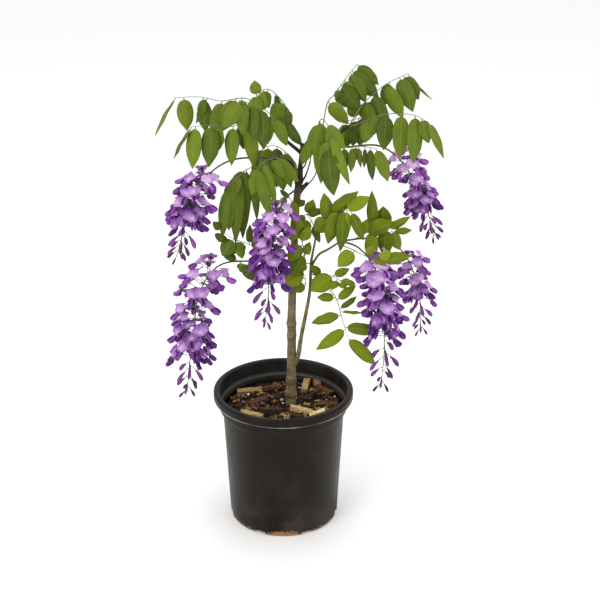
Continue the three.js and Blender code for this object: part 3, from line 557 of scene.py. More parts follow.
def bark_chips():
    material = shader("bark chips", Roughness=0.86, Specular_IOR_Level=0.3)
    place = place_in(material)
    fibre = place.mapped(Scale=(260, 1400, 900), Rotation=(0, 0, 0.4)).noise(1.0, 4)
    light = lightness_at(place, 190, 7, 0.7, tone_share=1, patch_share=0.75, lift=-0.455)
    colour = shade_by(light + fibre * 0.16, CHIP_SHADES)
    # Some of the wood has weathered olive, some is fresh and pinkish.
    cast = place.noise(26, 2)
    colour = mix(cast.steps(0.50, 0.60), colour, OLIVE_CAST, "MULTIPLY")
    colour = mix(cast.steps(0.44, 0.34), colour, PINK_CAST, "MULTIPLY")
    return lead_in(material, colour, light.beside("Patch") + fibre, 0.8, 0.0012)


def perlite_white():
    material = shader("perlite", Roughness=0.9, Base_Color=PERLITE_COLOUR)
    return lead_in(material, relief=place_in(material).noise(900, 3), strength=0.7, depth=0.0004)


chips_material = bark_chips()
finish_piece("mulch_bed", make_bed(), [chips_material], "bark_mulch")
mulch_chips = finish_piece("mulch_chips", make_chips(), [chips_material], "bark_mulch")
mulch_chips.data.shade_flat()
finish_piece("mulch_perlite", make_perlite(), [perlite_white()], "bark_mulch")


# ------------------------------------------------------------------ woody stems

# The trunk is one straight leader, tied up while it was young and cut back to
# make a head, with a second stem from low on its side. The bark is thin and
# grey-brown with pale pores, greener at the foot, knobbly where leaves dropped.
STEMS = {  # points on the centreline, radius at foot and tip, sides and steps
    "trunk": ([(12, 11, 132), (12, 9, 200), (13, 8, 241), (14, 8, 293), (14, 8, 350), (15, 8, 394),
               (18, 8, 465), (21, 6, 546), (26, 6, 600), (28, 7, 620)], 9.0, 5.2, 28, 190),
    "leader": ([(27, 7, 610), (30, 7, 640), (32, 8, 662)], 4.2, 3.0, 18, 30),
    "stub": ([(25, 6, 580), (32, 4, 590), (41, 2, 599)], 3.6, 2.6, 16, 20),
    "second": ([(15, 7, 268), (25, 2, 296), (29, -4, 327), (38, -8, 379), (44, -10, 418), (46, -12, 468),
                (52, -12, 505), (54, -12, 530)], 4.6, 1.2, 18, 110),
    "side": ([(45, -12, 460), (58, -13, 482), (74, -15, 493), (95, -18, 509)], 2.2, 1.6, 14, 50),
    "crown_left": ([(30, 8, 645), (8, 8, 664), (-14, 10, 682)], 3.2, 2.2, 16, 36),
    "crown_low_left": ([(27, 6, 612), (9, 0, 634), (-12, -4, 641)], 3.2, 2.2, 16, 36),
    "crown_right": ([(30, 8, 640), (47, 6, 655), (72, 2, 658), (100, 0, 657)], 3.4, 2.2, 16, 50),
    "crown_far_right": ([(76, 2, 657), (88, 8, 675), (107, 10, 690)], 2.8, 2.2, 14, 30),
    "crown_up_right": ([(31, 8, 650), (45, 10, 668), (64, 10, 678)], 3.2, 2.2, 14, 36),
    "twig_front": ([(27, 6, 594), (36, 3, 608), (43, 0, 630), (46, -2, 650)], 1.7, 0.8, 8, 40),
    "twig_back": ([(29, 7, 616), (37, 9, 628), (41, 10, 646)], 1.4, 0.7, 8, 30),
    "twig_low": ([(24, 6, 572), (35, 5, 588), (50, 6, 606), (55, 7, 622)], 1.5, 0.7, 8, 40),
}
TRUNK_SWELLINGS = [(222, 1.9), (246, 1.2), (330, 0.9), (352, 1.3), (430, 1.1), (520, 1.2), (600, 1.6)]
SWELLING_RISE = 1.2
SWELLING_LENGTH = 6
TRUNK_FLARE = (196, 60, 0.10)  # foot height, length and share by which the trunk widens down to it
STEM_LEVEL = Vector((0.1, 0.99, 0))
BARK_SHADES = [
    (0.0, (0.030, 0.020, 0.008, 1)), (0.40, (0.120, 0.088, 0.040, 1)),
    (0.66, (0.240, 0.190, 0.100, 1)), (1.0, (0.44, 0.37, 0.23, 1)),
]
BARK_GREEN = (0.120, 0.135, 0.045, 1)
# Painted shadow colour for the head of the trunk under the leaves.
CROWN_SHADOW_COLOUR = (0.014, 0.009, 0.006, 1)
DARK_RING_DROP = 0.004  # how far under its swelling a dark ring lies


def curve_at(points, t):
    """The point at share t of a smooth curve through the points."""
    place = (len(points) - 1) * t
    i = min(int(place), len(points) - 2)
    w = place - i
    a, b = points[i], points[i + 1]
    before = points[i - 1] if i > 0 else 2 * a - b
    after = points[i + 2] if i + 2 < len(points) else 2 * b - a
    leave, arrive = (b - before) / 2, (after - a) / 2
    square, cube = 3 * (b - a) - 2 * leave - arrive, 2 * (a - b) + leave + arrive
    return a + leave * w + square * w ** 2 + cube * w ** 3


def heading_at(points, t):
    ahead, behind = min(t + 1e-4, 1), max(t - 1e-4, 0)
    return (curve_at(points, ahead) - curve_at(points, behind)).normalized()


def square_to(vector, axis):
    return (vector - axis * vector.dot(axis)).normalized()


def mm_points(triples):
    return [Vector(triple) * MM for triple in triples]


def add_grid(shape, columns, rows):
    made = bmesh.ops.create_grid(shape, x_segments=columns, y_segments=rows, size=1, calc_uvs=True)
    return made["verts"]


def add_tube(shape, points, level, radius_at, sides, rings):
    """A round tube along a curve, closed to a point at both ends."""
    made = add_grid(shape, sides, rings)
    frames = {}
    for vert in made:
        row = round((vert.co.y + 1) / 2 * rings)
        if row not in frames:
            ahead = heading_at(points, row / rings)
            across = square_to(level, ahead)
            frames[row] = (curve_at(points, row / rings), across, ahead.cross(across))
        centre, across, rise = frames[row]
        turn = math.pi * (vert.co.x + 1)
        radius = 0 if row in (0, rings) else radius_at(row / rings, turn)
        vert.co = centre + (across * math.cos(turn) + rise * math.sin(turn)) * radius
    return made


def make_stems():
    """Tubes that run into each other, swollen on the trunk where leaves have dropped."""
    shape = bmesh.new()
    for name, (triples, foot, tip, sides, rings) in STEMS.items():
        points = mm_points(triples)

        def radius_at(t, turn):
            place = curve_at(points, t)
            radius = foot + (tip - foot) * t
            if name == "trunk":
                level, length, share = TRUNK_FLARE
                for height, size in TRUNK_SWELLINGS:
                    away = (place.z / MM - height) / SWELLING_LENGTH
                    radius += SWELLING_RISE * size * math.exp(-away ** 2)
                radius *= 1 + share * max(0, 1 - (place.z / MM - level) / length)
            spot = place + Vector((math.cos(turn), math.sin(turn), 0)) * radius * MM
            knots = noise.noise(spot * 75) * 0.09
            knots += noise.noise(Vector((spot.x, spot.y, spot.z * 0.3)) * 420) * 0.05
            return radius * (0.97 + knots) * MM

        add_tube(shape, points, STEM_LEVEL, radius_at, sides, rings)
    bmesh.ops.remove_doubles(shape, verts=shape.verts, dist=WELD)
    bmesh.ops.recalc_face_normals(shape, faces=shape.faces)
    return shape


def stem_bark():
    material = shader("wisteria bark", Roughness=0.8, Specular_IOR_Level=0.3)
    place = place_in(material)
    height = place.node("SeparateXYZ", {0: place}, 2)
    patch = place.noise(60, 4, 0.6)
    # Fissures run up the stems, and rings run round them, most of all near the foot.
    fissure = place.mapped(Scale=(1, 1, 0.16)).noise(420, 7, 0.65)
    ring = place.mapped(Scale=(0.12, 0.12, 1)).noise(150, 3)
    rings = (ring - 0.5) * (height.steps(0.30, 0.22) * 0.5 + 0.3)
    colour = shade_by(fissure * 0.75 + patch * 0.45 + rings - 0.1, BARK_SHADES)
    pore = place.node("TexVoronoi", {"Vector": place, "Scale": 260}, "Distance").steps(0.16, 0.06)
    colour = mix(pore * 0.5, colour, BARK_SHADES[-1][1])
    green = height.steps(0.30, 0.20) * patch.steps(0.4, 0.65)
    colour = mix(green * 0.5, colour, BARK_GREEN)
    # Dark rings round the trunk just under its swellings.
    wandering = height + (patch - 0.5) * 0.006
    dark_rings = [abs(wandering - (swelling * MM - DARK_RING_DROP)).steps(0.0022, 0.0004)
             for swelling, _ in TRUNK_SWELLINGS]
    colour = mix(sum(dark_rings[1:], dark_rings[0]) * 0.6, colour, BARK_SHADES[0][1])
    # Painted shadow: the head of the trunk, shaded by the leaves over it, is painted near black.
    colour = mix(height.steps(0.550, 0.605) * 0.93, colour, CROWN_SHADOW_COLOUR)
    return lead_in(material, colour, fissure + pore * 0.4, 0.8, 0.0012)


finish_piece("stems_bark", make_stems(), [stem_bark()], "woody_stems")


# ----------------------------------------------------------------------- leaves

# Compound leaves: a wiry rib with pairs of leaflets and one at the tip. Each
# blade is thin and smooth, folded along its midrib, waved at the edge and drawn
# out to a point. Grown leaves hang and are deep green; young ones are yellower.
LEAVES = {  # rib, then leaflets: share along it, tip, width, turn
    "leaf_far_left": ([(-4, 12, 674), (-32, 32, 705), (-57, 46, 723), (-97, 60, 715), (-132, 74, 718),
        (-176, 88, 713)],
        [(0.92, -154, 78, 661, 25, -12), (0.77, -124, 68, 662, 22, 14), (0.59, -111, 53, 653, 26, 10),
         (0.48, -94, 44, 671, 29, -20), (0.44, -58, 53, 680, 21, 30), (0.73, -140, 80, 672, 19, 55),
         (0.98, -208, 93, 647, 15, 74), (0.33, -37, 47, 675, 21, -25)]),
    "leaf_left_low": ([(-5, 7, 674), (-22, -8, 700), (-48, -24, 710), (-75, -40, 702), (-109, -54, 708),
        (-137, -66, 708)],
        [(0.94, -135, -68, 643, 22, 8), (0.78, -111, -59, 643, 27, -14), (0.59, -77, -41, 640, 21, 10),
         (0.44, -43, -31, 633, 21, -12), (0.69, -101, -33, 659, 20, 40), (0.98, -164, -59, 655, 12, 72),
         (0.27, -28, -17, 658, 20, 24), (0.51, -59, -23, 660, 19, -35)]),
    "leaf_top_left": ([(-12, 10, 681), (8, 13, 710), (-8, 13, 737), (-25, 10, 747), (-40, 6, 735)],
        [(0.98, -42, 12, 760, 17, 0), (0.81, -20, 13, 716, 14, 18), (0.69, -33, 7, 712, 20, -12),
         (0.53, -3, 17, 712, 12, 40), (0.42, -13, 9, 692, 22, 12), (0.28, 15, 17, 690, 12, -36),
         (0.36, 3, 7, 673, 20, -10), (0.93, -51, 1, 694, 23, 20), (0.14, 32, 9, 656, 17, -28)]),
    "leaf_left_front": ([(8, 5, 663), (-1, -22, 696), (-21, -38, 724), (-44, -54, 740), (-61, -68, 749)],
        [(0.98, -86, -71, 708, 25, 12), (0.93, -58, -68, 695, 19, -16), (0.75, -42, -60, 686, 21, 8),
         (0.59, -28, -49, 674, 21, -20), (0.45, -21, -31, 671, 18, 26), (0.39, 8, -38, 670, 18, -24),
         (0.85, -72, -54, 709, 20, -8)]),
    "leaf_left_drooping": ([(-9, -3, 633), (-31, -17, 632), (-53, -22, 629), (-71, -30, 615),
        (-87, -36, 599)],
        [(0.98, -94, -40, 521, 18, 14), (0.8, -84, -37, 532, 25, -8), (0.68, -74, -30, 507, 22, 12),
         (0.52, -63, -19, 511, 21, -10), (0.43, -40, -19, 542, 14, -30), (0.65, -91, -31, 571, 22, 32),
         (0.55, -82, -15, 582, 20, 20)]),
    "leaf_front_long": ([(-4, -1, 639), (-12, -36, 651), (-27, -58, 651), (-37, -72, 645)],
        [(0.98, -18, -77, 569, 18, -14), (0.68, -9, -63, 585, 15, -30), (0.94, -46, -67, 600, 20, 22),
         (0.6, -31, -46, 606, 22, 10), (0.44, 3, -48, 623, 18, -16), (0.24, 26, -27, 609, 19, -14)]),
    "leaf_trunk_front": ([(16, 4, 628), (11, 3, 635), (-2, 7, 641), (-18, 10, 640)],
        [(0.93, -20, 7, 591, 24, 14), (0.77, 2, 4, 584, 25, -10), (0.56, 14, 4, 589, 19, -24),
         (0.35, 23, 3, 603, 14, 20), (0.67, -13, 1, 616, 24, -6), (0.98, -37, 12, 613, 19, 28)]),
    "leaf_back_left": ([(25, 10, 612), (15, 34, 629), (-11, 58, 642), (-34, 76, 633)],
        [(0.98, -46, 71, 584, 21, 10), (0.85, -28, 66, 575, 24, -14), (0.64, -10, 58, 571, 24, 14),
         (0.49, 12, 42, 580, 21, -18), (0.35, 21, 39, 587, 14, 24)]),
    "leaf_low_left": ([(17, 7, 462), (-6, -22, 473), (-33, -30, 494), (-53, -36, 509), (-79, -42, 522),
        (-96, -46, 537)],
        [(0.98, -108, -48, 551, 12, 30), (0.94, -99, -50, 518, 20, -10), (0.77, -95, -46, 493, 24, 14),
         (0.73, -63, -38, 485, 16, -30), (0.59, -51, -32, 541, 13, 35), (0.65, -79, -32, 491, 21, -20),
         (0.4, -48, -24, 518, 16, 20)]),
    "leaf_low_front": ([(17, 7, 440), (-24, -18, 433), (-49, -30, 463), (-72, -36, 482)],
        [(0.98, -96, -38, 496, 13, 30), (0.89, -46, -38, 447, 16, -14), (0.94, -59, -30, 456, 19, 24),
         (0.47, -52, -22, 463, 14, 10)]),
    "leaf_small_shoot": ([(22, 6, 556), (20, -8, 563), (12, -14, 578), (3, -18, 585)],
        [(0.98, 1, -20, 567, 11, 10), (0.62, -4, -11, 591, 8, 30), (0.58, 23, -17, 548, 16, -14),
         (0.16, 36, -3, 571, 13, 12), (0.34, 14, -11, 542, 13, -20)]),
    "leaf_top_right": ([(62, 10, 677), (70, 18, 721), (81, 28, 733), (93, 38, 748), (107, 46, 765),
        (118, 54, 776)],
        [(0.23, 104, 11, 691, 23, 12), (0.53, 84, 29, 726, 11, 30), (0.58, 123, 31, 705, 25, -13),
         (0.79, 131, 42, 717, 23, 17), (0.83, 152, 55, 723, 26, -14), (0.98, 152, 59, 741, 19, 10),
         (0.43, 109, 37, 710, 22, 24), (0.66, 116, 53, 722, 19, 20)]),
    "leaf_far_right": ([(104, 10, 688), (125, 30, 716), (147, 50, 732), (170, 70, 743), (202, 92, 752)],
        [(0.68, 192, 56, 688, 23, 12), (0.88, 209, 75, 693, 26, -10), (0.93, 219, 90, 709, 23, 14),
         (0.98, 242, 98, 707, 11, 68), (0.46, 167, 39, 666, 24, -8), (0.32, 142, 32, 663, 22, 18),
         (0.75, 161, 78, 702, 21, 30)]),
    "leaf_right_second": ([(104, 8, 687), (129, -10, 702), (157, -30, 718), (183, -50, 724),
        (201, -64, 725), (221, -76, 717)],
        [(0.58, 179, -52, 654, 24, 8), (0.79, 199, -69, 652, 23, -12), (0.88, 221, -73, 685, 21, 18),
         (0.98, 245, -71, 660, 14, -30), (0.41, 156, -36, 663, 25, 12), (0.35, 138, -21, 681, 22, -24),
         (0.22, 128, -15, 668, 22, 24)]),
    "leaf_right_front": ([(34, 8, 657), (52, -16, 680), (58, -34, 709), (65, -50, 713), (74, -58, 697),
        (70, -64, 672)],
        [(0.36, 39, -37, 648, 20, 14), (0.41, 60, -43, 611, 26, -8), (0.66, 96, -57, 670, 18, -22),
         (0.82, 104, -61, 615, 15, -24), (0.98, 80, -61, 598, 28, 8), (0.89, 61, -55, 634, 23, 16),
         (0.73, 86, -50, 642, 20, -14), (0.09, 31, -19, 634, 16, 12)]),
    "leaf_right_short": ([(62, 3, 657), (90, -8, 660), (111, -14, 663), (130, -18, 663), (147, -22, 661)],
        [(0.32, 100, -13, 626, 12, 12), (0.47, 107, -17, 621, 12, -14), (0.6, 123, -14, 628, 9, 30),
         (0.73, 127, -21, 630, 9, -34), (0.84, 141, -23, 610, 13, 14), (0.97, 165, -26, 609, 19, -12),
         (0.23, 87, -4, 628, 16, 18), (0.54, 117, -9, 639, 16, 10)]),
    "leaf_back_right": ([(44, 12, 666), (81, 30, 670), (101, 48, 684), (127, 66, 686)],
        [(0.98, 124, 61, 641, 26, 10), (0.88, 109, 65, 714, 21, 12), (0.94, 144, 73, 710, 22, -14),
         (0.84, 113, 63, 640, 23, -14), (0.66, 103, 44, 643, 22, 14), (0.51, 88, 44, 639, 19, -20),
         (0.91, 143, 69, 665, 21, 12)]),
}
YOUNG_LEAVES = {
    "leaf_young_upper": ([(53, -12, 524), (66, -20, 524), (77, -27, 556), (92, -33, 567), (109, -38, 564)],
        [(0.51, 119, -34, 597, 23, 10), (0.85, 137, -33, 587, 20, -12), (0.39, 65, -20, 589, 20, 8),
         (0.67, 72, -35, 509, 24, -10), (0.89, 96, -37, 508, 18, 16), (0.98, 128, -42, 517, 16, -16),
         (0.42, 50, -21, 527, 24, 16), (0.5, 88, -22, 524, 21, 10), (0.81, 91, -49, 501, 19, -14)]),
    "leaf_young_right": ([(92, -16, 508), (117, -12, 510), (140, -8, 521), (162, -4, 524), (178, 0, 516)],
        [(0.56, 141, -13, 591, 17, 8), (0.75, 160, 0, 560, 24, -12), (0.84, 205, 3, 542, 15, 14),
         (0.98, 207, -6, 522, 14, 20), (0.53, 142, -11, 471, 21, -8), (0.8, 165, -1, 474, 24, 12),
         (0.32, 136, -9, 542, 14, -20), (0.42, 175, -16, 541, 29, 6), (0.94, 190, 6, 483, 18, -14)]),
    "leaf_young_tip": ([(53, -12, 527), (49, -4, 531), (44, 2, 539), (37, 6, 545)],
        [(0.91, 66, -1, 554, 14, 10), (0.94, 58, -3, 553, 13, -20), (0.83, 49, 10, 568, 18, 10),
         (0.52, 28, -5, 520, 18, 14), (0.98, 21, 6, 528, 14, -16), (0.35, 60, -6, 500, 13, 24)]),
    "leaf_young_left": ([(46, -12, 468), (37, -20, 472), (33, -28, 503), (26, -32, 521)],
        [(0.93, 34, -29, 537, 9, 14), (0.72, 9, -32, 477, 22, -10), (0.51, 15, -37, 457, 22, 12),
         (0.47, 44, -20, 507, 13, -16), (0.69, 44, -34, 490, 13, 20), (0.89, 7, -35, 538, 22, 10),
         (0.97, 20, -38, 560, 20, -8), (0.76, 42, -37, 540, 19, 16)]),
    "leaf_young_side": ([(87, -17, 503), (109, -58, 509), (127, -88, 510), (152, -106, 508)],
        [(0.41, 87, -72, 485, 23, 8), (0.8, 163, -100, 498, 11, 30), (0.98, 198, -99, 514, 20, 14),
         (0.94, 168, -107, 524, 14, -16), (0.71, 142, -87, 526, 14, 12)]),
    "leaf_mid_right": ([(45, -12, 448), (60, -26, 451), (79, -36, 455), (93, -44, 449)],
        [(0.72, 44, -41, 431, 29, 8), (0.69, 107, -35, 467, 13, -12), (0.98, 101, -40, 435, 14, 10),
         (0.39, 44, -25, 468, 13, 14), (0.88, 78, -35, 430, 14, -14), (0.94, 117, -47, 445, 13, 18)]),
    "leaf_mid_left": ([(17, 7, 420), (34, -16, 426), (37, -24, 443), (33, -30, 459)],
        [(0.88, -3, -32, 436, 24, 8), (0.92, 26, -23, 477, 18, -14), (0.7, 5, -20, 455, 23, 20),
         (0.55, 18, -24, 422, 16, 12)]),
    "leaf_low_right": ([(45, -12, 440), (70, -22, 430), (86, -30, 414), (94, -36, 388), (101, -41, 366),
        (107, -44, 347)],
        [(0.4, 55, -34, 417, 14, 10), (0.43, 118, -29, 436, 14, -10), (0.54, 119, -38, 421, 11, 14),
         (0.61, 46, -40, 374, 19, -8), (0.57, 131, -33, 389, 10, 36), (0.82, 54, -38, 325, 20, 10),
         (0.79, 157, -45, 361, 19, -12), (0.98, 152, -42, 299, 21, 6)]),
}
LEAF_SEEDS = 11  # the first leaf's; each next leaf has the next one
BLADE_ACROSS = 8
BLADE_ALONG = 18
BLADE_THICKNESS = 0.30 * MM
BLADE_BOW = 0.055  # rise of a blade's middle, as a share of its length
BLADE_FOLD = 0.16
BLADE_SWEEP = 0.16
BLADE_TWIST = 0.9
BLADE_CURL = 0.09
BLADE_FULLNESS = 1.06  # of the drawn width, for blades that are waved and curled
LEAFLET_STALK = 3.5 * MM
RIB_RADIUS = (1.0, 0.4)
RIB_SWELLING = 0.6
STALK_RADIUS = 0.7
FRONT = Vector((0, -1, 0))
GREEN_SHADES = ((0.027, 0.052, 0.003, 1), (0.158, 0.218, 0.012, 1))
YOUNG_SHADES = ((0.048, 0.092, 0.001, 1), (0.200, 0.245, 0.003, 1))
VEIN_GREEN = (0.200, 0.260, 0.040, 1)
VEIN_YOUNG = (0.300, 0.340, 0.040, 1)
SIDE_VEINS = 11
RIB_GREEN = (0.200, 0.200, 0.075, 1)
RIB_YOUNG = (0.190, 0.200, 0.050, 1)


def blade_half_width(s):
    """Share of the full half width at share s of the blade: round base, drawn-out tip."""
    pinch = 1 - 0.38 * max(0, (s - 0.70) / 0.30) ** 1.4
    return s ** 0.52 * (1 - s) ** 0.78 / 0.4106 * pinch


def set_material(verts, index):
    for face in {face for vert in verts for face in vert.link_faces}:
        face.material_index = index


def add_leaflet(shape, rib, leaflet, habit):
    """One blade, bent, folded and waved by its own draws, with its short stalk."""
    share, x, y, z, width, turn = leaflet
    foot, tip = curve_at(rib, share), Vector((x, y, z)) * MM
    heading = (tip - foot).normalized()
    start = foot + heading * LEAFLET_STALK
    length, width = (tip - start).length, width * MM
    normal = Matrix.Rotation(math.radians(turn), 3, heading) @ square_to(FRONT, heading)
    across = normal.cross(heading)
    twist, phase, fold = (next(habit) - 0.5) * BLADE_TWIST, math.tau * next(habit), 0.4 + 1.2 * next(habit)
    curl, sweep, ripple = next(habit), (next(habit) - 0.5) * BLADE_SWEEP, 0.05 + 0.09 * next(habit)
    tone = next(habit)
    blade = add_grid(shape, BLADE_ACROSS, BLADE_ALONG)
    for vert in blade:
        x, s = vert.co.x, (vert.co.y + 1) / 2
        half = blade_half_width(s) * width * BLADE_FULLNESS / 2 if 0 < s < 1 else 0
        wave = math.sin(phase + s * 13 + x * 1.1) * ripple * abs(x) ** 1.4 * half
        drop = 4 * s * (1 - s) * BLADE_BOW * length - abs(x) * half * BLADE_FOLD * fold
        drop += wave - BLADE_CURL * curl * x * x * half
        bend = twist * (s - 0.3)
        aside = x * half * math.cos(bend) + sweep * length * s * (1 - s)
        vert.co = start + heading * length * s + across * aside + normal * (drop + x * half * math.sin(bend))
    set_tone(shape, blade, tone)
    stalk = [foot, foot.lerp(start, 0.5), start + heading * length * 0.05]
    set_material(add_tube(shape, stalk, normal, lambda t, turn: STALK_RADIUS * MM, 6, 4), 1)


def make_leaf(triples, leaflets, seed):
    """The rib with its leaflets. The rib is swollen where it joins the stem."""
    shape = new_shape()
    rib = mm_points(triples)
    habit = roll_dice(seed * 104729)
    for leaflet in leaflets:
        add_leaflet(shape, rib, leaflet, habit)

    def radius_at(t, turn):
        swelling = RIB_SWELLING * math.exp(-(t / 0.03) ** 2)
        return (RIB_RADIUS[0] + (RIB_RADIUS[1] - RIB_RADIUS[0]) * t + swelling) * MM

    level = (rib[-1] - rib[0]).cross(UP).normalized()
    set_material(add_tube(shape, rib, level, radius_at, 8, 42), 1)
    bmesh.ops.remove_doubles(shape, verts=shape.verts, dist=WELD)
    blades = [face for face in shape.faces if face.material_index == 0]
    bmesh.ops.solidify(shape, geom=blades, thickness=BLADE_THICKNESS)
    bmesh.ops.recalc_face_normals(shape, faces=shape.faces)
    return shape


def leaflet_veins():
    """Node group: midrib, side veins and fine cells of a leaflet, from its own UV map."""
    group, (place, side_veins), result = new_group(
        "Leaflet veins", {"Place": "Vector", "Side veins": "Float"}, {"Vein": "Float", "Height": "Float"})
    along = place.node("SeparateXYZ", {0: place.node("UVMap", {}, uv_map="UVMap")}, 1)
    from_rib = abs(along.beside(0) - 0.5) * 2.0
    slant = (along - from_rib * 0.16) * side_veins
    away = abs(slant.calc("FRACT") - 0.5)
    side = away.steps(0.10, 0.02) * from_rib.steps(1.0, 0.55)
    vein = from_rib.steps(0.085, 0.02).calc("MAXIMUM", side * 0.55)
    height = away.steps(0.0, 0.5) * 0.5 - vein + place.noise(1500, 2) * 0.25
    group.links.new(vein.socket, result.inputs["Vein"])
    group.links.new(height.socket, result.inputs["Height"])
    return group


veins_group = leaflet_veins()


def leaf_blade(name, shades, vein_colour):
    material = shader(name, Roughness=0.55, Specular_IOR_Level=0.17)
    place = place_in(material)
    light = lightness_at(place, 55, 4, 0.6, tone_share=0.7, patch_share=0.6, lift=-0.11)
    vein = place.node("Group", {"Place": place, "Side veins": SIDE_VEINS}, "Vein", node_tree=veins_group)
    colour = mix(vein * 0.36, mix(light, *shades), vein_colour)
    return lead_in(material, colour, vein.beside("Height"), 0.5, 0.0005)


def mottle():
    """Node group: a colour with darker patches."""
    sockets = {"Place": "Vector", "Scale": "Float", "Dark": "Color", "Light": "Color"}
    group, (place, scale, dark, light), result = new_group("Mottle", sockets, {"Colour": "Color"})
    group.links.new(mix(place.noise(scale, 3), dark, light).socket, result.inputs["Colour"])
    return group


mottle_group = mottle()


def mottled(name, colour, roughness=0.6, scale=90, dark_share=0.45):
    material = shader(name, Roughness=roughness)
    place = place_in(material)
    dark = tuple(c * dark_share for c in colour[:3]) + (1,)
    values = {"Place": place, "Scale": scale, "Dark": dark, "Light": colour}
    return lead_in(material, place.node("Group", values, node_tree=mottle_group))


leaf_finishes = {
    "leaf_green": [leaf_blade("grown leaflet", GREEN_SHADES, VEIN_GREEN), mottled("grown rib", RIB_GREEN)],
    "leaf_young": [leaf_blade("young leaflet", YOUNG_SHADES, VEIN_YOUNG), mottled("young rib", RIB_YOUNG)],
}
for seed, (node, (rib, leaflets)) in enumerate({**LEAVES, **YOUNG_LEAVES}.items(), start=LEAF_SEEDS):
    finish = "leaf_young" if node in YOUNG_LEAVES else "leaf_green"
    finish_piece(node + "_foliage", make_leaf(rib, leaflets, seed), leaf_finishes[finish], node)


# ---------------------------------------------------------------------- racemes

# Hanging flower trusses, open from the top down. Each flower stands on its own
# thin stalk: a calyx cup, a broad pale banner bent back, and two wings folded
# round a darker keel. Towards the tip they are closed buds, ever smaller.
RACEMES = {  # axis, bare share, flowers, buds, stalk, size, seed
    "raceme_left_upper": ([(-10, -4, 641), (-74, -22, 644), (-115, -40, 623), (-142, -50, 579),
        (-155, -52, 533), (-166, -54, 494)], 0.4, 13, 13, 26, 1.03, 41),
    "raceme_left_lower": ([(16, 7, 455), (-53, -10, 470), (-104, -18, 464), (-136, -18, 414),
        (-148, -18, 333), (-156, -18, 285), (-161, -18, 236)], 0.36, 16, 13, 29, 1.1, 42),
    "raceme_centre": ([(23, 3, 588), (2, -48, 585), (-13, -74, 548), (-19, -80, 495), (-22, -80, 435),
        (-28, -80, 393)], 0.28, 15, 13, 24, 1.08, 43),
    "raceme_right_upper": ([(99, 0, 657), (153, 10, 656), (194, 26, 620), (220, 36, 567), (238, 38, 528),
        (248, 38, 495)], 0.36, 13, 13, 25, 1, 44),
    "raceme_right_front": ([(94, -19, 508), (122, -42, 504), (147, -58, 474), (159, -60, 417),
        (164, -60, 338), (160, -60, 266)], 0.34, 16, 13, 26, 1.12, 45),
    "raceme_right_back": ([(92, -15, 506), (136, 22, 497), (180, 48, 481), (212, 60, 437), (227, 62, 389),
        (233, 62, 349), (233, 62, 312)], 0.45, 9, 12, 23, 0.95, 46),
}
FADED = {"raceme_left_upper": 0.06, "raceme_right_upper": 0.13, "raceme_right_back": 0.15}  # open for longer
AXIS_RADIUS = (1.6, 0.5)
AXIS_LEVEL = Vector((0, 1, 0))
GOLDEN_ANGLE = math.radians(137.5)
FLOWER_STALK_RADIUS = 0.55
BANNER_SQUARES = 8
BANNER_HALF_WIDTH = 12.3
BANNER_HALF_HEIGHT = 9.0
BANNER_MIDDLE = 5.7
BANNER_NOTCH = 3.4
WING_LENGTH = 15.4
WING_HALF_HEIGHT = 5.8
KEEL_HALF_LENGTH = 6.6
KEEL_HALF_SIZES = (2.3, 3.2)
CALYX_RADII = (0.8, 2.3)
CALYX_LENGTH = 4.2
CALYX_TOOTH = 1.3
PETAL_THICKNESS = 0.25 * MM
BUD_STALK = 4
BUD_STALK_SHARE = 0.3
BUD_LENGTH = 22
BUD_HALF_WIDTH = 3.4
BUD_TIP_SIZE = 0.5
CROWDING = 0.75
LAST_BUD = 0.985  # share of the axis at which the buds end
NOD_TOP, NOD_GAIN, NOD_SPREAD = 0.4, 1.6, 0.4
BANNER_LEAN = 0.42
LAYER_SEEDS = (7919, 15485863, 32452843, 49979687)
LAYER_SHIFT = (0.5, 1.0, 0.2, 0.75)
LAYER_TURN = (0, 1.9, 4.1, 3.0)
LAYER_REACH = (1, 1.0, 0.84, 0.6)
# Painted shade: how much darker the flowers of each inner layer are, deep in the truss.
LAYER_PAINTED_SHADE = (0, 0.05, 0.16, 0.3)
BARE_FRONT = 0.28  # share of the flowers' length over which the inner layers leave the front open
BANNER_PALE = (0.590, 0.350, 0.680, 1)
BANNER_DEEP = (0.190, 0.041, 0.305, 1)
BANNER_EYE = (0.800, 0.720, 0.560, 1)
WING_SHADES = ((0.080, 0.011, 0.165, 1), (0.350, 0.098, 0.475, 1))
KEEL_SHADES = ((0.030, 0.006, 0.080, 1), (0.110, 0.022, 0.220, 1))
BUD_SHADES = ((0.042, 0.008, 0.050, 1), (0.285, 0.082, 0.375, 1))
CALYX_COLOUR = (0.060, 0.028, 0.045, 1)
STALK_COLOUR = (0.150, 0.140, 0.070, 1)
AXIS_COLOUR = (0.085, 0.075, 0.028, 1)


def blend(first, share, second, other):
    return (first * share + second * other).normalized()


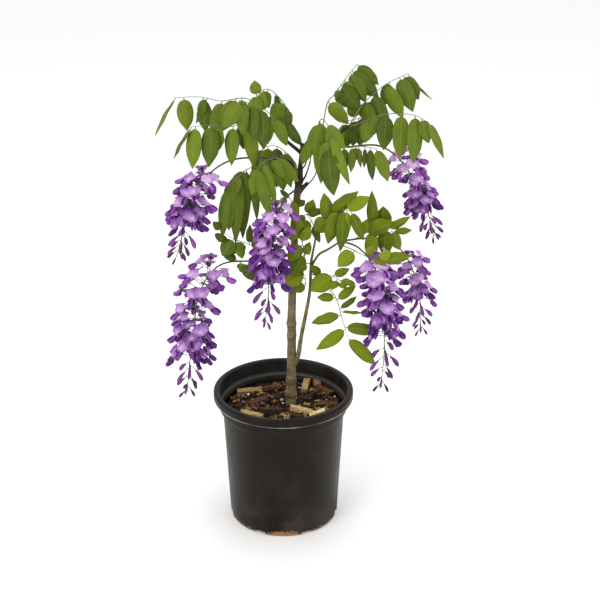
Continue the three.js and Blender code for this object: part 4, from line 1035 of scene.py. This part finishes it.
def flower_plan(axis, bare, flowers, buds, stalk, size, seed, layer=0):
    """Each flower or bud: is it a bud, its foot, stalk direction, facing, stalk end, tangent, size, nod
    and how far along it is. Layer 0 is the outer flowers and the buds; the next ones stand between them.
    """
    dice = roll_dice(seed * LAYER_SEEDS[layer] % 2147483647)
    count = flowers + buds
    for i in range(flowers if layer else count):
        along = (i + LAYER_SHIFT[layer]) / count
        t = bare + (LAST_BUD - bare) * along ** CROWDING
        ahead = heading_at(axis, t)
        side = square_to(AXIS_LEVEL, ahead)
        turn = i * GOLDEN_ANGLE + 0.5 * (next(dice) - 0.5) + LAYER_TURN[layer]
        radial = blend(side, math.cos(turn), ahead.cross(side), math.sin(turn))
        hint = 0.25 if i % 2 == 0 else -0.25
        out = Vector((radial.x, radial.y + hint, 0)).normalized()
        bud = i >= flowers
        shrink = 1 - (i - flowers) / (buds + 1) if bud else 1
        length = BUD_STALK + BUD_STALK_SHARE * stalk * shrink if bud else stalk * (1 - 0.25 * along)
        lift = -0.6 if bud else 0.55 - 0.9 * along
        climb = 0.5 * radial.z + lift + 0.3 * (next(dice) - 0.5)
        reach = Vector((out.x, out.y, climb)).normalized()
        foot = curve_at(axis, t)
        end = foot + reach * (size * length) * (0.85 + 0.3 * next(dice)) * LAYER_REACH[layer] * MM
        full = size * (BUD_TIP_SIZE + (1 - BUD_TIP_SIZE) * shrink if bud else 0.9 + 0.2 * next(dice))
        nod = NOD_TOP + NOD_GAIN * along + NOD_SPREAD * next(dice)
        yield bud, foot, reach, out, end, ahead, full * MM, nod, along


def disc_point(vert):
    """A grid point moved onto a round disc, so that a petal's outline is smooth."""
    x, y = vert.co.x, vert.co.y
    return x * math.sqrt(1 - y * y / 2), y * math.sqrt(1 - x * x / 2)


def add_banner(shape, end, side, up, face, size, open_share, habit):
    """The banner petal: broad, notched, creased, folded back over the throat, waved at the edge."""
    made = add_grid(shape, BANNER_SQUARES, BANNER_SQUARES)
    phase, back, cup = math.tau * next(habit), (0.6 + 0.7 * next(habit)) * open_share, next(habit) * 2 - 0.6
    lean, broad = (next(habit) - 0.5) * 5, (0.88 + 0.2 * next(habit)) * (0.55 + 0.45 * open_share)
    for vert in made:
        a, b = disc_point(vert)
        rim = a * a + b * b
        wide = BANNER_HALF_WIDTH * broad * a * (1 - 0.34 * max(0, -b)) + lean * max(0, b)
        notch = BANNER_NOTCH * max(0, b) * math.exp(-(a / 0.18) ** 2)
        high = BANNER_MIDDLE + BANNER_HALF_HEIGHT * b - notch
        share = max(0, high + 3.4) / 18
        crease = 1.9 * math.exp(-(a / 0.16) ** 2)
        deep = 1.0 - 8.2 * back * share ** 1.8 - 5.2 * a * a * cup + crease
        wave = math.atan2(b, a)
        deep += (1.5 * math.sin(phase + 5 * wave) + 1.1 * math.sin(2 * phase + 9 * wave)) * rim
        vert.co = end + (side * wide + up * high + face * deep) * size
    set_material(made, 0)
    return made


def add_wings(shape, end, side, forward, over, size, open_share, habit):
    """Two oblong wings, cupped round the keel and spreading a little at the tip."""
    made = []
    for hand in (-1, 1):
        spread, twist = (0.4 + 0.9 * next(habit)) * open_share, 2.0 * (next(habit) - 0.5)
        wing = add_grid(shape, 7, 4)
        for vert in wing:
            a, b = disc_point(vert)
            s = (a + 1) / 2
            cupped = 1.0 - 2.0 * b * b + 0.4 * math.sin(7 * a + 9 * b)
            wide = cupped + 3.6 * math.sin(math.pi * min(1, s * 0.82)) * spread
            high = WING_HALF_HEIGHT * b * (0.60 + 0.40 * a) + 0.6 + 2.4 * s * s + twist * s
            vert.co = end + (forward * (0.6 + WING_LENGTH * s) + side * hand * wide + over * high) * size
        made += wing
    set_material(made, 1)
    return made


def add_keel(shape, end, side, forward, over, size):
    """The keel: two petals grown together into a boat, curved up at its tip."""
    half_width, half_height = KEEL_HALF_SIZES
    made = bmesh.ops.create_uvsphere(shape, u_segments=8, v_segments=6, radius=1, calc_uvs=True)["verts"]
    for vert in made:
        x, y, z = vert.co
        high = y * half_height + 1.6 * z * z - 1.6
        reach = 0.4 + KEEL_HALF_LENGTH * (z + 1)
        vert.co = end + (forward * reach + side * x * half_width + over * high) * size
    set_material(made, 2)


def add_calyx(shape, end, aim, size):
    """The calyx: a small toothed cup behind the petals, which stand in it."""
    across = square_to(Vector((0.3, 0.2, 1)), aim)
    rise = aim.cross(across)
    made = bmesh.ops.create_cone(shape, cap_ends=True, segments=10, radius1=CALYX_RADII[0],
                                 radius2=CALYX_RADII[1], depth=1)["verts"]
    for k, vert in enumerate(made):
        x, y, z = vert.co
        tooth = CALYX_TOOTH * (k % 2) if z > 0 else 0
        along = (z + 0.5) * (CALYX_LENGTH + tooth) - CALYX_LENGTH
        vert.co = end + (across * x + rise * y + aim * along) * size
    set_material(made, 4)


def add_bud(shape, end, reach, out, ahead, size):
    """A closed bud: the long folded banner, a drop that swells towards its blunt, upturned end."""
    aim = blend(out, 0.5, ahead, 0.8)
    side = aim.cross(reach).normalized()
    over = side.cross(aim)
    made = bmesh.ops.create_uvsphere(shape, u_segments=8, v_segments=9, radius=1, calc_uvs=True)["verts"]
    for vert in made:
        x, y, z = vert.co
        s = (z + 1) / 2
        belly = BUD_HALF_WIDTH * (0.50 + 0.72 * s - 0.16 * s * s)
        keeled = 1.2 * (1 + 0.28 * max(0, y))
        arch = 1.5 * math.sin(math.pi * s) + 2.2 * s ** 3
        vert.co = end + (aim * BUD_LENGTH * s + side * x * belly + over * (y * belly * keeled + arch)) * size
    set_material(made, 3)
    add_calyx(shape, end + aim * 2.6 * size, aim, size * 0.85)


def add_flower_stalk(shape, foot, reach, end, ahead):
    bend = foot.lerp(end, 0.5) + UP * (end - foot).length * 0.07
    route = [foot - reach * 0.8 * MM, bend, end]
    set_material(add_tube(shape, route, ahead, lambda t, turn: FLOWER_STALK_RADIUS * MM, 5, 6), 5)


def add_flower(shape, end, reach, out, size, nod, along, habit):
    """An open flower. Gives the points of its thin petals."""
    open_share = min(1, max(0.3, 1.9 - 2.6 * along))
    up = blend(UP, 1, out, 0.6 - 0.6 * open_share - BANNER_LEAN)
    side = UP.cross(out).normalized()
    forward = blend(out, 0.75, -UP, nod)
    over = square_to(side.cross(up), forward)
    petals = add_banner(shape, end, side, up, side.cross(up), size, open_share, habit)
    petals += add_wings(shape, end, side, forward, over, size, open_share, habit)
    add_keel(shape, end, side, forward, over, size)
    add_calyx(shape, end - out * 1.8 * size, blend(reach, 0.6, out, 0.4), size)
    return petals


def make_raceme(faded, triples, *values):
    """The axis with its layers of flowers and its buds. Older flowers are paler; inner layers get painted
    shade.
    """
    shape = new_shape()
    axis = mm_points(triples)
    habit = roll_dice(values[-1] * 104729)
    petals = []
    for layer, painted_shade in enumerate(LAYER_PAINTED_SHADE):
        for bud, foot, reach, out, end, ahead, size, nod, along in flower_plan(axis, *values, layer=layer):
            if layer > 1 and along < BARE_FRONT and out.y < -0.3:
                continue
            first = len(shape.verts)
            add_flower_stalk(shape, foot, reach, end, ahead)
            if bud:
                add_bud(shape, end, reach, out, ahead, size)
            else:
                petals += add_flower(shape, end, reach, out, size, nod, along, habit)
            shape.verts.ensure_lookup_table()
            tone = 0.95 - 0.85 * along if bud else 0.74 - 1.40 * along + faded
            # Each inner layer is painted darker, as painted shade inside the truss.
            set_tone(shape, shape.verts[first:], tone + 0.55 * (next(habit) - 0.43) - painted_shade)
    thin = {face for vert in petals for face in vert.link_faces}
    bmesh.ops.solidify(shape, geom=list(thin), thickness=PETAL_THICKNESS)

    def radius_at(t, turn):
        return (AXIS_RADIUS[0] + (AXIS_RADIUS[1] - AXIS_RADIUS[0]) * t) * MM

    made = add_tube(shape, axis, AXIS_LEVEL, radius_at, 10, 90)
    set_material(made, 6)
    bmesh.ops.remove_doubles(shape, verts=made, dist=WELD)
    bmesh.ops.recalc_face_normals(shape, faces=shape.faces)
    return shape


def petal_streaks():
    """Node group: fine streaks along a petal, from its own UV map."""
    group, (stretch,), result = new_group("Petal streaks", {"Stretch": "Vector"}, {"Streak": "Float"})
    streak = stretch.node("UVMap", {}, uv_map="UVMap").mapped(Scale=stretch).noise(1.0, 3)
    group.links.new(streak.socket, result.inputs["Streak"])
    return group


streaks_group = petal_streaks()


def petal(name, shades):
    material = shader(name, Roughness=0.62, Specular_IOR_Level=0.2, Sheen_Weight=0.06)
    place = place_in(material)
    streak = place.node("Group", {"Stretch": (2.5, 22, 1)}, node_tree=streaks_group)
    light = lightness_at(place, 160, 4, 0.6, tone_share=1, patch_share=0.9, lift=-0.75)
    return lead_in(material, mix(light + streak * 0.6, *shades), light.beside("Patch") + streak, 0.4, 0.0004)


def banner_petal():
    material = shader("banner petal", Roughness=0.6, Specular_IOR_Level=0.2, Sheen_Weight=0.06)
    place = place_in(material)
    uv = place.node("UVMap", {}, uv_map="UVMap")
    from_eye = uv.node("VectorMath", {0: uv, 1: (0.5, 0.35, 0)}, "Value", operation="DISTANCE")
    # Veins fan out from the eye: noise across the angle round it.
    along = uv.node("SeparateXYZ", {0: uv}, 1)
    sideways = along.beside(0) - 0.5
    angle = sideways.calc("ARCTAN2", along - 0.16)
    ray = uv.node("CombineXYZ", {0: angle * 9.0, 1: from_eye}).noise(1.6, 3)
    depth = lightness_at(place, 120, 3, 0.6, tone_share=-1, patch_share=0.9, lift=-0.07)
    depth = from_eye.steps(0.12, 0.58) * 0.32 + ray.steps(0.40, 0.62) * 0.62 + depth
    colour = mix(from_eye.steps(0.19, 0.03) * 0.36, mix(depth, BANNER_PALE, BANNER_DEEP), BANNER_EYE)
    return lead_in(material, colour, ray + abs(sideways).steps(0.06, 0.0), 0.5, 0.0005)


raceme_finishes = [banner_petal()]
for name, shades in {"wing petal": WING_SHADES, "keel petal": KEEL_SHADES, "flower bud": BUD_SHADES}.items():
    raceme_finishes.append(petal(name, shades))
for name, colour in {"calyx": CALYX_COLOUR, "flower stalk": STALK_COLOUR, "raceme axis": AXIS_COLOUR}.items():
    raceme_finishes.append(mottled(name, colour, roughness=0.7, scale=240, dark_share=0.5))
for node, values in RACEMES.items():
    finish_piece(node + "_flowers", make_raceme(FADED.get(node, 0), *values), raceme_finishes, node)
